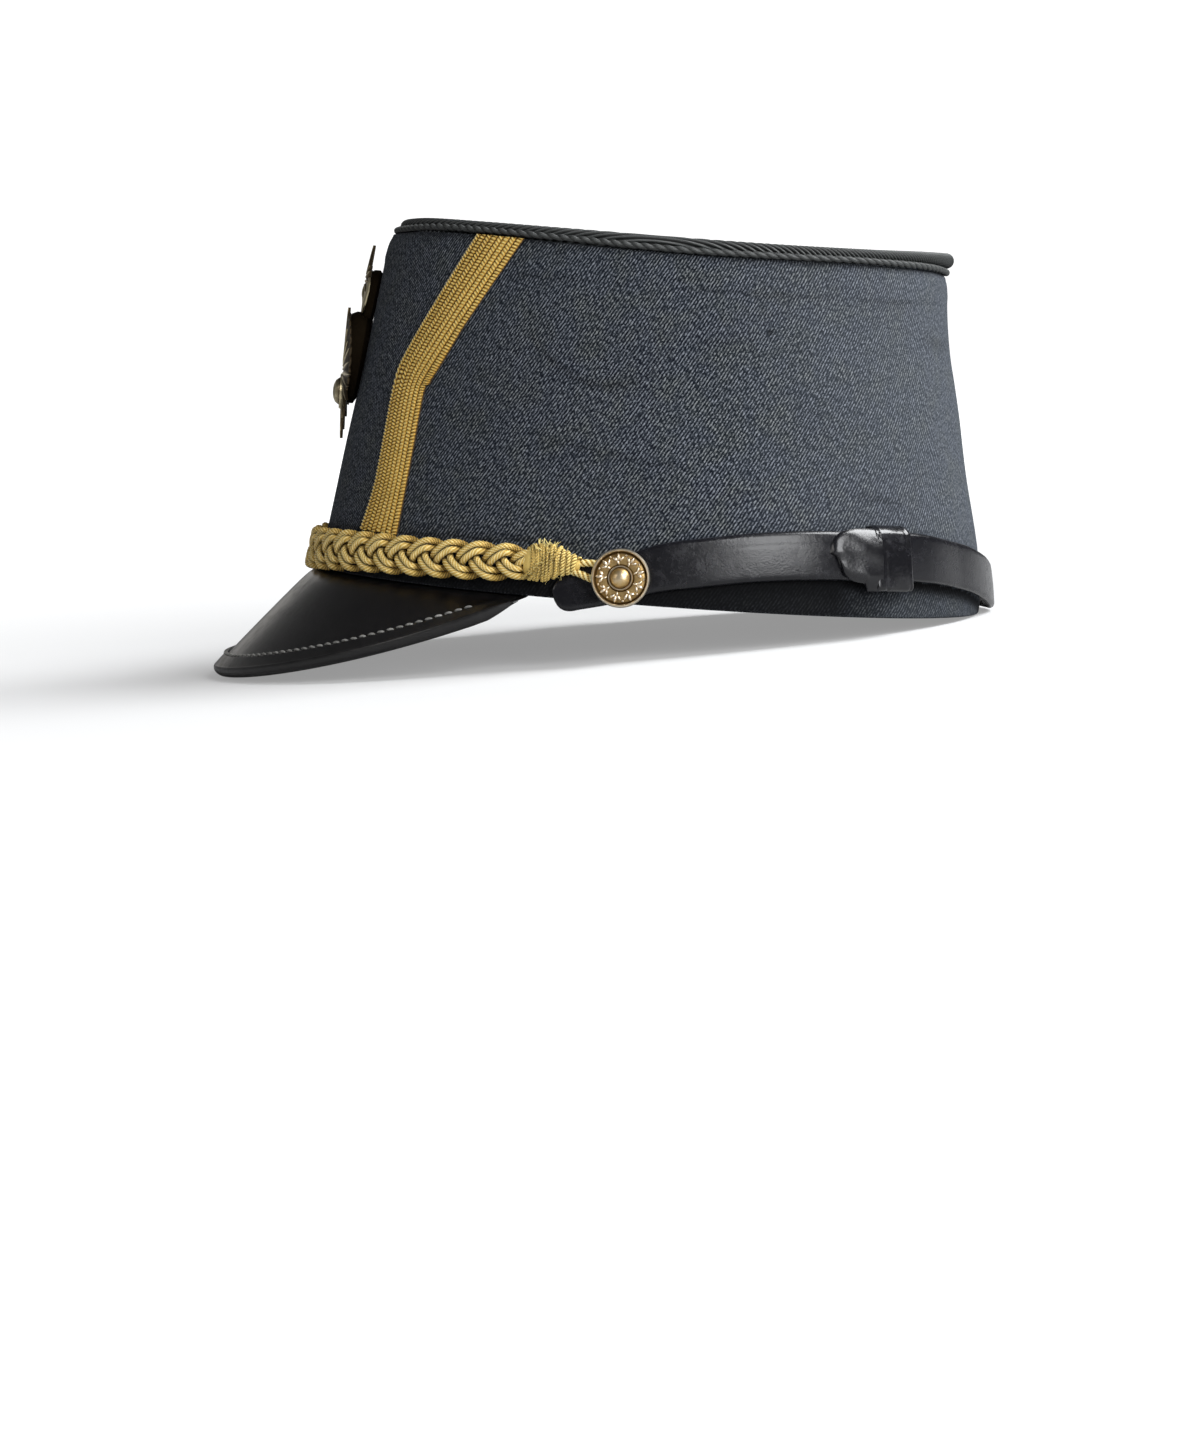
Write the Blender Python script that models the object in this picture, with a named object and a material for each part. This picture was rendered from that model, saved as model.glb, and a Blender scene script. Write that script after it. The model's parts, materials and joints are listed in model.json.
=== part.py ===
"""Stiff military dress cap of the kepi kind: a tapering cloth crown with a leather peak, a plaited
gold cord over the peak, gold lace on both sides, a leather strap round the back, two buttons and
a two-part metal badge at the front.

The pieces are modelled in the cap's own frame: bottom rim in the plane z = 0, front towards -X,
the wearer's left towards -Y. An empty then tips the cap nose-up, as it rests on its peak and rim.
"""

import math

import bmesh
import bpy
from mathutils import Matrix, Vector

MM = 0.001
GAP = 0.3 * MM                      # clearance between pieces that touch

# Crown
RIM_LENGTH = 206.0 * MM             # outside, front to back, at the bottom rim
RIM_WIDTH = 168.0 * MM
TOP_LENGTH = 173.0 * MM             # outside, at the cloth's upper edge
TOP_WIDTH = 144.0 * MM
CROWN_HEIGHT = 104.3 * MM
TOP_FORWARD = 1.2 * MM              # the top's centre lies this far in front of the rim's
EGG = 0.05                          # how much narrower the front half is than the back half
WALL = 2.5 * MM                     # cloth over its stiffener
TOP_CLOTH = 2.0 * MM
TOP_DIP = 1.2 * MM                  # the top's middle lies this far under its edge

# Cords round the top edge
UPPER_CORD = 4.4 * MM
LOWER_CORD = 2.1 * MM
LOWER_CORD_OUT = 0.3 * MM           # lower cord's centre outside the cloth's face
CORD_SEAT = 0.7 * MM                # upper cord's underside over the cloth's mean edge

# Peak
PEAK_CORNER = 68.0                  # degrees from the front to each rear corner
PEAK_REACH = 30.0 * MM              # plan distance in front of the rim
PEAK_DROP = 32.6 * MM               # tip of the sheet under its rear corners
PEAK_CORNER_DROP = 1.3 * MM
PEAK_CORNER_OUT = 4.4 * MM
PEAK_TUCK = 2.0 * MM                # how far its inner edge goes under the wall
PEAK_SWELL = 2.0 * MM                # its rise over a straight ruling, most near the wall
PEAK_SHEET = 2.0 * MM
PEAK_EDGE_POWER = 2.20              # how long the edge stays low before it climbs to the corners
BINDING_DEPTH = 6.0 * MM
BINDING_LEATHER = 0.9 * MM
BINDING_GAP = 0.45 * MM             # room for the sheet in the fold, which twists at the corners
BINDING_LIMIT = 0.55                # its depth at most, as a share of the sheet's width there
PEAK_STEPS = 32                     # rulings from corner to corner
PEAK_SHARES = (0.0, 0.25, 0.5, 0.75, 1.0)

# Plaited cord over the peak
BRAID_HEIGHT = 13.0 * MM
BRAID_THICKNESS = 4.8 * MM
BRAID_PITCH = 8.0 * MM
BRAID_RELIEF = 0.16                 # depth of the furrows, as a share of the half section
BRAID_FRONT_HEIGHT = 6.6 * MM       # its centre line over the rim, at the front
BRAID_RISE = 2.9 * MM               # and how much higher it is at the knots
BRAID_ANGLE = 63.6                  # degrees from the front to each end

KNOT_HEIGHT = 12.6 * MM
KNOT_DEPTH = 6.6 * MM
KNOT_ANGLE = 75.6                   # degrees from the front to its rear end
BUTTON_CORD = 2.3 * MM

# Gold lace
LACE_WIDTH = 15.0 * MM
LACE_THICKNESS = 1.2 * MM
LACE_TUCK = 0.6 * MM                # its lower end lies this far behind the plait
LACE_TOP_ANGLE = 53.2               # degrees from the front, at the cloth's upper edge
LACE_BEND_ANGLE = 35.0              # and at the mitred bend, below which it runs straight down
LACE_BEND = 0.585                   # height of the bend as a share of the crown's
LACE_UPPER_STEPS = 6
LACE_LOWER_STEPS = 4

# Strap and its keeper
STRAP_WIDTH = 13.8 * MM
STRAP_THICKNESS = 1.8 * MM
STRAP_TIP = 73.4                    # degrees from the front to the rounded tips
STRAP_CHAMFER = 0.3                 # of its thickness
TIP_SHARES = (0.03, 0.12, 0.3, 0.55, 0.8, 1.0)
KEEPER_FRONT = 120.3                # degrees from the front: tip of its tongue
KEEPER_LOOP = 128.6                 # front edge of its loop
KEEPER_BACK = 137.0
KEEPER_LEATHER = 1.3 * MM
KEEPER_SIDE = 1.45 * MM
KEEPER_FALL = 14.0                  # degrees in which the rear strap comes down behind it
REAR_STRAP_END = 130.2              # the rear strap ends inside the loop
FRONT_STRAP_END = 139.5             # and the front strap behind it

# Buttons
BUTTON = 17.5 * MM
BUTTON_ANGLE = 84.7
BUTTON_HEIGHT = 7.3 * MM            # centre over the rim
BUTTON_THICKNESS = 3.6 * MM
SHANK = 3.0 * MM
BUTTON_PETALS = 8

# Badge
STAR_LOWER = 40.0 * MM              # height over its points
STAR_UPPER = 22.6 * MM
STAR_LOWER_LEVEL = 0.575            # centre over the rim, as a share of the crown's height
STAR_UPPER_LEVEL = 0.850
STAR_LOWER_OFF = 4.4 * MM           # back of the plate off the cloth, at its centre
STAR_UPPER_OFF = 3.6 * MM
STAR_LOWER_LEAN = 8.5               # degrees that the lower plate's top leans off the cloth
STAR_PLATE = 0.9 * MM
STAR_RELIEF = 0.9 * MM
STAR_SHORT_RAY = 0.82               # radii as shares of the long rays'
STAR_VALLEY = 0.62
BADGE_POST = 4.0 * MM
BOSS = 11.0 * MM
BOSS_HEIGHT = 3.4 * MM
BOSS_DROP = 0.14                    # how far it sits under the lower star's centre

AROUND = 60                         # facets round the crown
WALL_LEVELS = (0.0, 0.14, 0.30, 0.46, 0.62, 0.78, 0.91)
UPPER_CORD_SIDES = 8
LOWER_CORD_SIDES = 6
BRAID_SIDES = 8
BRAID_STEPS = 5                  # to each lobe
KNOT_SIDES = 12

# Lift of the cloth's upper edge round the crown, in degrees from the front and shares of the
# lower cord's diameter
EDGE_LIFT = (
    # angle, lift
    (0, 0.20),
    (40, 0.70),
    (67, 0.45),
    (90, -0.05),
    (110, 0.05),
    (130, 0.30),
    (155, 0.05),
    (180, -0.60),
)

# Shallow dents in the cloth: degrees from the front (left side positive), share of the crown's
# height, spreads of each, and depth as a share of the wall
DENTS = (
    # angle, height, angle spread, height spread, depth
    (82, 0.62, 14, 0.10, 0.28),
    (56, 0.84, 9, 0.09, 0.18),
    (118, 0.45, 18, 0.14, 0.20),
    (-74, 0.55, 16, 0.12, 0.24),
    (-112, 0.70, 12, 0.10, 0.20),
    (168, 0.50, 14, 0.16, 0.24),
)

# Centre line of the strap, in degrees from the front round the left side: height over the rim
# as a share of the strap's width, and its inner face off the cloth as a share of its thickness,
# beyond the clearance
STRAP_PATH = (
    # angle, height, off
    (73.4, 0.16, 0.0),
    (78.0, 0.30, 0.0),
    (84.7, 0.53, 0.0),
    (90.0, 0.78, 0.0),
    (97.0, 0.95, 0.05),
    (107.0, 1.15, 0.35),
    (118.0, 1.26, 0.84),
    (128.0, 1.28, 0.86),
    (140.0, 1.27, 0.90),
    (156.0, 1.10, 1.00),
    (180.0, 0.73, 1.00),
    (205.0, 0.54, 0.90),
    (230.0, 0.50, 0.60),
    (252.0, 0.50, 0.20),
    (268.0, 0.54, 0.0),
    (275.3, 0.53, 0.0),
    (282.0, 0.30, 0.0),
    (286.6, 0.16, 0.0),
)

# Wrapped knot, along its length: height and depth as shares of its own
KNOT_SECTIONS = (
    # along, height, depth
    (0.00, 0.74, 0.74),
    (0.08, 0.96, 0.95),
    (0.25, 1.00, 1.00),
    (0.42, 1.00, 0.98),
    (0.56, 0.90, 0.90),
    (0.62, 0.70, 0.78),
    (0.72, 0.78, 0.80),
    (0.88, 0.66, 0.66),
    (1.00, 0.46, 0.46),
)

# Keeper's tongue, from its tip to the loop: half width and climb over the strap's end as shares
TONGUE = (
    # along, half width, climb
    (0.00, 0.24, 0.0),
    (0.04, 0.44, 0.0),
    (0.12, 0.65, 0.0),
    (0.26, 0.84, 0.0),
    (0.45, 0.96, 0.0),
    (0.70, 1.00, 0.53),
    (0.92, 1.00, 1.0),
    (1.00, 1.00, 1.0),
)

# Button face, from the rim of its back to its centre: radius and height as shares of its radius
# and thickness, and the share of the thickness that its petals rise
BUTTON_PROFILE = (
    # radius, height, petals
    (0.92, 0.04, 0.0),
    (1.00, 0.30, 0.0),
    (1.00, 0.56, 0.0),
    (0.94, 0.70, 0.0),
    (0.87, 0.50, 0.0),
    (0.80, 0.50, 0.0),
    (0.64, 0.62, 0.16),
    (0.44, 0.52, 0.0),
    (0.36, 0.52, 0.0),
    (0.32, 0.80, 0.0),
    (0.16, 0.97, 0.0),
)


def smooth(rows, column, x):
    """Cubic through a column of a table whose first column is x."""
    last = len(rows) - 1
    if x <= rows[0][0]:
        return rows[0][column]
    if x >= rows[last][0]:
        return rows[last][column]
    i = 0
    while rows[i + 1][0] < x:
        i += 1

    def slope(j):
        if j in (0, last):
            return 0.0
        return (rows[j + 1][column] - rows[j - 1][column]) / (rows[j + 1][0] - rows[j - 1][0])

    span = rows[i + 1][0] - rows[i][0]
    t = (x - rows[i][0]) / span
    low, high = rows[i][column], rows[i + 1][column]
    return ((1 + 2 * t) * (1 - t) ** 2 * low + t * (1 - t) ** 2 * span * slope(i)
            + t * t * (3 - 2 * t) * high - t * t * (1 - t) * span * slope(i + 1))


def on_crown(angle, height, offset=0.0):
    """Point at an angle from the front, a height over the rim and an offset outside the cloth."""
    share = height / CROWN_HEIGHT
    half_length = (RIM_LENGTH + (TOP_LENGTH - RIM_LENGTH) * share) / 2 + offset
    half_width = (RIM_WIDTH + (TOP_WIDTH - RIM_WIDTH) * share) / 2 + offset
    turn = math.radians(angle)
    x = -TOP_FORWARD * share - half_length * math.cos(turn)
    y = -half_width * math.sin(turn) * (1 - EGG * math.cos(turn))
    return Vector((x, y, height))


def crown_frame(angle, height, offset=0.0):
    """The same point, with the directions along the crown, up the cloth and out of it."""
    step = 0.5
    along = on_crown(angle + step, height) - on_crown(angle - step, height)
    up = on_crown(angle, height + MM) - on_crown(angle, height - MM)
    along.normalize()
    out = along.cross(up).normalized()
    return on_crown(angle, height, offset), along, out.cross(along), out


def degrees_for(distance, angle, height):
    """Change of angle that goes a distance round the crown."""
    step = 0.5
    per_degree = (on_crown(angle + step, height) - on_crown(angle - step, height)).length / (2 * step)
    return distance / per_degree


def edge_height(angle):
    """Height of the cloth's upper edge."""
    from_front = abs((angle + 180) % 360 - 180)
    return CROWN_HEIGHT + LOWER_CORD * smooth(EDGE_LIFT, 1, from_front)


def dent(angle, height):
    """How far the cloth is pushed in."""
    depth = 0.0
    for centre, level, spread, level_spread, share in DENTS:
        across = ((angle - centre + 180) % 360 - 180) / spread
        upright = (height / CROWN_HEIGHT - level) / level_spread
        depth += share * WALL * math.exp(-across ** 2 - upright ** 2)
    return depth


def between(low, high, count):
    return [low + (high - low) * i / (count - 1) for i in range(count)]


def add_object(name, mesh, material):
    body = bpy.data.objects.new(name, mesh)
    cap.objects.link(body)
    body.parent = cap_pose
    mesh.materials.append(material)
    mesh.shade_smooth()
    mesh.set_sharp_from_angle(angle=math.radians(40))
    return body


def skin(name, rings, material, loop=False):
    """Closed body through rings of points, joined end to end or capped."""
    work = bmesh.new()
    layers = [[work.verts.new(point) for point in ring] for ring in rings]
    pairs = list(zip(layers, layers[1:]))
    if loop:
        pairs.append((layers[-1], layers[0]))
    else:
        work.faces.new(layers[0])
        work.faces.new(layers[-1])
    for first, second in pairs:
        for i in range(len(first)):
            j = (i + 1) % len(first)
            work.faces.new((first[i], first[j], second[j], second[i]))
    bmesh.ops.recalc_face_normals(work, faces=work.faces)
    mesh = bpy.data.meshes.new(name)
    work.to_mesh(mesh)
    work.free()
    return add_object(name, mesh, material)


def finish(name, colour, roughness, metallic=0.0):
    material = bpy.data.materials.new(name)
    material.use_nodes = True
    shader = material.node_tree.nodes["Principled BSDF"]
    shader.inputs["Base Color"].default_value = (*colour, 1.0)
    shader.inputs["Roughness"].default_value = roughness
    shader.inputs["Metallic"].default_value = metallic
    return material


def combine(body, tool, operation):
    """Boolean with a cutter, or with a piece that becomes part of the body."""
    modifier = body.modifiers.new(tool.name, "BOOLEAN")
    modifier.operation = operation
    modifier.solver = "EXACT"
    modifier.object = tool
    tool.hide_render = True
    tool.display_type = "WIRE"
    cap.objects.unlink(tool)
    cutters.objects.link(tool)


def build_crown():
    top_limit = upper_cord_height() - UPPER_CORD / 2 - 2 * GAP
    rings = []
    for i in range(AROUND):
        angle = 360 * i / AROUND
        edge = edge_height(angle) - GAP
        levels = [level * edge for level in WALL_LEVELS]
        ring = [on_crown(angle, level, -dent(angle, level)) for level in levels]
        ring.append(on_crown(angle, edge))
        ring.append(on_crown(angle, min(edge, top_limit), -WALL))
        # The inside has every other level
        ring += [on_crown(angle, level, -WALL - dent(angle, level)) for level in levels[-3::-2]]
        rings.append(ring)
    skin("crown_wall", rings, cloth, loop=True)

    upper = upper_cord_height() - UPPER_CORD / 2 - GAP
    layers = ((0.35, -TOP_DIP - TOP_CLOTH), (0.80, -TOP_DIP * 0.6 - TOP_CLOTH), (1.0, -TOP_CLOTH),
              (1.0, 0.0), (0.80, -TOP_DIP * 0.6), (0.35, -TOP_DIP))
    rings = []
    for share, level in layers:
        ring = []
        for i in range(AROUND):
            point = on_crown(360 * i / AROUND, upper - TOP_CLOTH, -WALL - GAP)
            ring.append(Vector((point.x * share, point.y * share, upper + level)))
        rings.append(ring)
    skin("crown_top", rings, cloth_top)


def upper_cord_height():
    return CROWN_HEIGHT + CORD_SEAT + UPPER_CORD / 2


def cord_ring(centre, along, up, diameter, sides):
    out = along.cross(up).normalized()
    turns = [2 * math.pi * k / sides for k in range(sides)]
    return [centre + diameter / 2 * (out * math.cos(t) + up * math.sin(t)) for t in turns]


def build_edge_cords():
    """The lower cord sits on the cloth's edge, and the upper one nests behind it."""
    level = upper_cord_height()
    lower, upper = [], []
    for i in range(AROUND):
        angle = 360 * i / AROUND
        low_level = edge_height(angle) + LOWER_CORD / 2
        centre, along, _, _ = crown_frame(angle, low_level, LOWER_CORD_OUT)
        lower.append(cord_ring(centre, along, Vector((0, 0, 1)), LOWER_CORD, LOWER_CORD_SIDES))
        reach = (UPPER_CORD + LOWER_CORD) / 2 + GAP
        inward = math.sqrt(max(0.0, reach ** 2 - (level - low_level) ** 2))
        # Both cords lie in the slant of the crown, which takes the upper one in a little more
        slant = on_crown(angle, low_level) - on_crown(angle, level)
        inward -= min(inward, Vector((slant.x, slant.y)).length * 0.5)
        centre = on_crown(angle, level, LOWER_CORD_OUT - inward)
        upper.append(cord_ring(centre, along, Vector((0, 0, 1)), UPPER_CORD, UPPER_CORD_SIDES))
    skin("edge_cord_lower", lower, cord_cloth, loop=True)
    skin("edge_cord_upper", upper, cord_cloth, loop=True)


def peak_edge(turn):
    """Outer edge of the peak's sheet, for turn from -1 at one rear corner to 1 at the other."""
    corner = on_crown(PEAK_CORNER, 0)
    front = on_crown(0, 0)
    middle = corner.x - PEAK_CORNER_OUT / 2
    reach = middle - (front.x - PEAK_REACH)
    half = -corner.y + PEAK_CORNER_OUT
    swing = turn * math.pi / 2
    drop = PEAK_CORNER_DROP + PEAK_DROP * (1 - abs(turn) ** PEAK_EDGE_POWER)
    return Vector((middle - reach * math.cos(swing), -half * math.sin(swing), -drop))


def peak_point(turn, share):
    """Upper face of the peak, from its inner edge under the wall to its outer edge."""
    inner = on_crown(turn * PEAK_CORNER, 0, -PEAK_TUCK)
    inner.z = -GAP
    outer = peak_edge(turn)
    swell = PEAK_SWELL * (1 - share) ** 0.7 * (1 - math.exp(-share / 0.05)) * (1 - turn * turn)
    return inner.lerp(outer, share) + Vector((-swell, 0, swell))


def peak_frame(i):
    """A ruling of the peak: its turn, the direction out to its edge, and the sheet's normal."""
    turn = -1 + 2 * i / PEAK_STEPS
    step = 2 / PEAK_STEPS
    outward = (peak_point(turn, 1) - peak_point(turn, PEAK_SHARES[-2])).normalized()
    along = peak_edge(max(turn - step, -1)) - peak_edge(min(turn + step, 1))
    return turn, outward, along.cross(outward).normalized()


def build_peak():
    rings = []
    for i in range(PEAK_STEPS + 1):
        turn, _, normal = peak_frame(i)
        upper = [peak_point(turn, share) for share in PEAK_SHARES]
        rings.append(upper + [point - normal * PEAK_SHEET for point in reversed(upper)])
    skin("peak", rings, leather)


def build_binding():
    """Leather folded round the peak's edge."""
    cavity = PEAK_SHEET / 2 + BINDING_GAP
    outside = cavity + BINDING_LEATHER
    front = BINDING_GAP + BINDING_LEATHER
    rings = []
    for i in range(1, PEAK_STEPS):
        turn, outward, normal = peak_frame(i)
        edge = peak_point(turn, 1)
        depth = min(BINDING_DEPTH, BINDING_LIMIT * (edge - peak_point(turn, 0)).length)
        middle = edge - normal * PEAK_SHEET / 2
        section = ((-depth, outside), (-0.2 * front, outside), (0.8 * front, 0.62 * outside),
                   (front * 1.1, 0.0), (0.8 * front, -0.62 * outside), (-0.2 * front, -outside),
                   (-depth, -outside), (-depth, -cavity), (BINDING_GAP, -cavity), (BINDING_GAP, cavity),
                   (-depth, cavity))
        rings.append([middle + outward * across + normal * level for across, level in section])
    skin("peak_binding", rings, leather_edge)


def braid_height(angle):
    return BRAID_FRONT_HEIGHT + BRAID_RISE * abs(angle) / BRAID_ANGLE


def build_braid():
    """Three-strand plait as one body: two rows of slanting lobes."""
    length = 2 * BRAID_ANGLE / degrees_for(1.0, BRAID_ANGLE / 2, BRAID_FRONT_HEIGHT)
    sections = BRAID_STEPS * round(length / BRAID_PITCH)
    rings = []
    for i in range(sections + 1):
        angle = -BRAID_ANGLE + 2 * BRAID_ANGLE * i / sections
        centre, _, up, out = crown_frame(angle, braid_height(angle), GAP + BRAID_THICKNESS / 2)
        ring = []
        for k in range(BRAID_SIDES):
            turn = 2 * math.pi * k / BRAID_SIDES
            rise, depth = math.sin(turn), math.cos(turn)
            # The lower row of lobes lies half a pitch along from the upper one
            phase = i / BRAID_STEPS + 0.55 * abs(rise) + (0.5 if rise < 0 else 0.0)
            furrow = BRAID_RELIEF * (0.5 - 0.5 * math.cos(2 * math.pi * phase))
            swell = 1 - furrow if depth > -0.5 else 1
            ring.append(centre + up * rise * swell * BRAID_HEIGHT / 2
                        + out * depth * swell * BRAID_THICKNESS / 2)
        rings.append(ring)
    skin("braid", rings, gold_cord)


def build_knot(name, side):
    """Bound end of the plait, which rides up over the strap's tip."""
    start = BRAID_ANGLE + degrees_for(GAP * 1.4, BRAID_ANGLE, BRAID_FRONT_HEIGHT)
    turns = [2 * math.pi * k / KNOT_SIDES for k in range(KNOT_SIDES)]
    rings = []
    for along, height, depth in KNOT_SECTIONS:
        angle = start + (KNOT_ANGLE - start) * along
        half_up, half_out = KNOT_HEIGHT * height / 2, KNOT_DEPTH * depth / 2
        base = GAP + (STRAP_THICKNESS + GAP) * along
        level = braid_height(BRAID_ANGLE)
        centre, _, up, out = crown_frame(angle * side, level, base + half_out)
        rings.append([centre + up * half_up * math.sin(t) + out * half_out * math.cos(t)
                      for t in turns])
    skin(name, rings, gold_cord)


def build_button_cord(name, side):
    """Cord from the knot round the button's shank and back."""
    level = BUTTON_HEIGHT
    knot_level = braid_height(BRAID_ANGLE)
    clear = SHANK / 2 + GAP + BUTTON_CORD / 2
    shank = BUTTON_ANGLE
    start = KNOT_ANGLE + degrees_for(GAP * 1.6, KNOT_ANGLE, level)
    spread = BUTTON_CORD / 2 + GAP / 2
    route = [(start, knot_level + spread), (start + 3, knot_level + spread)]
    for quarter in between(90, -90, 7):
        swing = math.radians(quarter)
        ahead = degrees_for(clear * math.cos(swing), shank, level)
        route.append((shank + ahead, level + clear * math.sin(swing)))
    route += [(start + 3, knot_level - spread - GAP), (start, knot_level - spread)]
    off = GAP + STRAP_THICKNESS + GAP + BUTTON_CORD / 2
    curve = bpy.data.curves.new(name, "CURVE")
    curve.dimensions = "3D"
    curve.bevel_depth = BUTTON_CORD / 2
    curve.bevel_resolution = 1
    curve.use_fill_caps = True
    line = curve.splines.new("POLY")
    line.points.add(len(route) - 1)
    for point, (angle, height) in zip(line.points, route):
        point.co = (*on_crown(angle * side, height, off), 1)
    cord = bpy.data.objects.new(name, curve)
    cap.objects.link(cord)
    cord.parent = cap_pose
    curve.materials.append(gold_cord)


def strap_section(angle, trim, extra=0.0):
    """Rectangle with broken edges across the strap; trim narrows it towards a rounded tip."""
    height = STRAP_WIDTH * smooth(STRAP_PATH, 1, angle)
    base = GAP + STRAP_THICKNESS * smooth(STRAP_PATH, 2, angle) + extra
    half = STRAP_WIDTH / 2 * trim
    cut = min(STRAP_THICKNESS * STRAP_CHAMFER, half / 2)
    middle, _, up, out = crown_frame(angle, height)
    corners = ((-half + cut, 0), (half - cut, 0), (half, cut), (half, STRAP_THICKNESS - cut),
               (half - cut, STRAP_THICKNESS), (-half + cut, STRAP_THICKNESS),
               (-half, STRAP_THICKNESS - cut), (-half, cut))
    return [middle + up * across + out * (base + level) for across, level in corners]


def tip_rings(tip, direction):
    """Angles and widths of the rounded tip, from its point to the full width."""
    rows = []
    for share in TIP_SHARES:
        reach = STRAP_WIDTH / 2 * share
        angle = tip + direction * degrees_for(reach, tip, 0)
        rows.append((angle, math.sqrt(1 - (1 - share) ** 2)))
    return rows


def keeper_lift(angle):
    """How far the rear strap's end is lifted off its path to pass over the front strap."""
    share = min(1.0, max(0.0, (angle - FRONT_STRAP_END - 1) / KEEPER_FALL))
    return (STRAP_THICKNESS + GAP) * (1 - share * share * (3 - 2 * share))


def build_straps():
    rows = tip_rings(STRAP_TIP, 1)
    start = rows[-1][0]
    rows += [(angle, 1.0) for angle in between(start, FRONT_STRAP_END, 16)[1:]]
    front = skin("strap_front", [strap_section(angle, trim) for angle, trim in rows], strap_leather)
    combine(front, shank_hole(1), "DIFFERENCE")

    far_tip = STRAP_PATH[-1][0]
    tip = tip_rings(far_tip, -1)
    angles = between(REAR_STRAP_END, tip[-1][0], 36)[:-1]
    rings = [strap_section(angle, 1.0, keeper_lift(angle)) for angle in angles]
    rings += [strap_section(angle, trim) for angle, trim in reversed(tip)]
    rear = skin("strap_rear", rings, strap_leather)
    combine(rear, shank_hole(-1), "DIFFERENCE")


def shank_frame(side):
    middle, along, up, out = crown_frame(BUTTON_ANGLE * side, BUTTON_HEIGHT)
    along = up.cross(out)
    return Matrix((along, up, out)).transposed().to_4x4(), middle


def turned(frame, middle, base, radius, level, sides, swing=0.0):
    turns = [2 * math.pi * k / sides + swing for k in range(sides)]
    return [middle + frame @ Vector((radius * math.cos(t), radius * math.sin(t), base + level))
            for t in turns]


def shank_hole(side):
    frame, middle = shank_frame(side)
    radius = SHANK / 2 + GAP
    reach = STRAP_THICKNESS + 3 * GAP
    rings = [turned(frame, middle, 0, radius, level, 12) for level in (-GAP, reach)]
    return skin("shank_hole_left" if side > 0 else "shank_hole_right", rings, strap_leather)


def build_button(name, side):
    """Turned face with a rim, a ring of petals and a dome, on a plain shank."""
    sides = 4 * BUTTON_PETALS
    frame, middle = shank_frame(side)
    base = GAP + STRAP_THICKNESS + GAP + BUTTON_CORD + GAP
    rings = [turned(frame, middle, GAP, SHANK / 2, 0, sides),
             turned(frame, middle, base, SHANK / 2, 0, sides)]
    for radius, height, petals in BUTTON_PROFILE:
        ring = []
        for k in range(sides):
            turn = 2 * math.pi * k / sides
            raised = petals * (0.5 + 0.5 * math.cos(BUTTON_PETALS * turn))
            ring.append(middle + frame @ Vector((
                radius * BUTTON / 2 * math.cos(turn), radius * BUTTON / 2 * math.sin(turn),
                base + (height + raised) * BUTTON_THICKNESS)))
        rings.append(ring)
    skin(name, rings, brass)


def build_keeper():
    """Loop round both straps with a rounded tongue on the front strap."""
    height = STRAP_WIDTH * smooth(STRAP_PATH, 1, KEEPER_LOOP)
    inner_half = STRAP_WIDTH / 2 + GAP
    outer_half = inner_half + KEEPER_SIDE

    def base(angle):
        return STRAP_THICKNESS * smooth(STRAP_PATH, 2, angle)

    # The loop's wall, corner by corner round the straps: outer face, then inner face
    walls = [([], []) for _ in range(6)]
    for angle in between(KEEPER_LOOP, KEEPER_BACK, 5):
        middle, _, up, out = crown_frame(angle, height)
        floor = base(angle)
        stack = floor + 2 * STRAP_THICKNESS + 3 * GAP
        high = stack + KEEPER_LEATHER
        shoulder = high - KEEPER_LEATHER / 2
        inside = ((-inner_half, floor), (inner_half, floor), (inner_half, stack - GAP),
                  (inner_half - GAP, stack), (-inner_half + GAP, stack),
                  (-inner_half, stack - GAP))
        outside = ((-outer_half, GAP), (outer_half, GAP), (outer_half, shoulder),
                   (inner_half, high), (-inner_half, high), (-outer_half, shoulder))
        for wall, far, near in zip(walls, outside, inside):
            wall[0].append(middle + up * far[0] + out * far[1])
            wall[1].append(middle + up * near[0] + out * near[1])
    loop = skin("slide_keeper", [far + near[::-1] for far, near in walls], keeper_leather, loop=True)

    # The tongue is a little thinner than the loop's roof, which its rear end runs into
    tongue = []
    tongue_half = inner_half + KEEPER_SIDE / 2
    edge = 0.3 * KEEPER_LEATHER
    for share, width, climb in TONGUE:
        angle = KEEPER_FRONT + (KEEPER_LOOP + 0.9 - KEEPER_FRONT) * share
        half = tongue_half * width
        middle, _, up, out = crown_frame(angle, height)
        floor = base(angle) + STRAP_THICKNESS + 2.5 * GAP + (STRAP_THICKNESS + GAP) * climb
        roof = floor + 0.78 * KEEPER_LEATHER
        section = ((-half, floor), (half, floor), (half, roof - edge), (half - edge, roof),
                   (-half + edge, roof), (-half, roof - edge))
        tongue.append([middle + up * across + out * level for across, level in section])
    combine(loop, skin("keeper_tongue", tongue, keeper_leather), "UNION")


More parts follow.
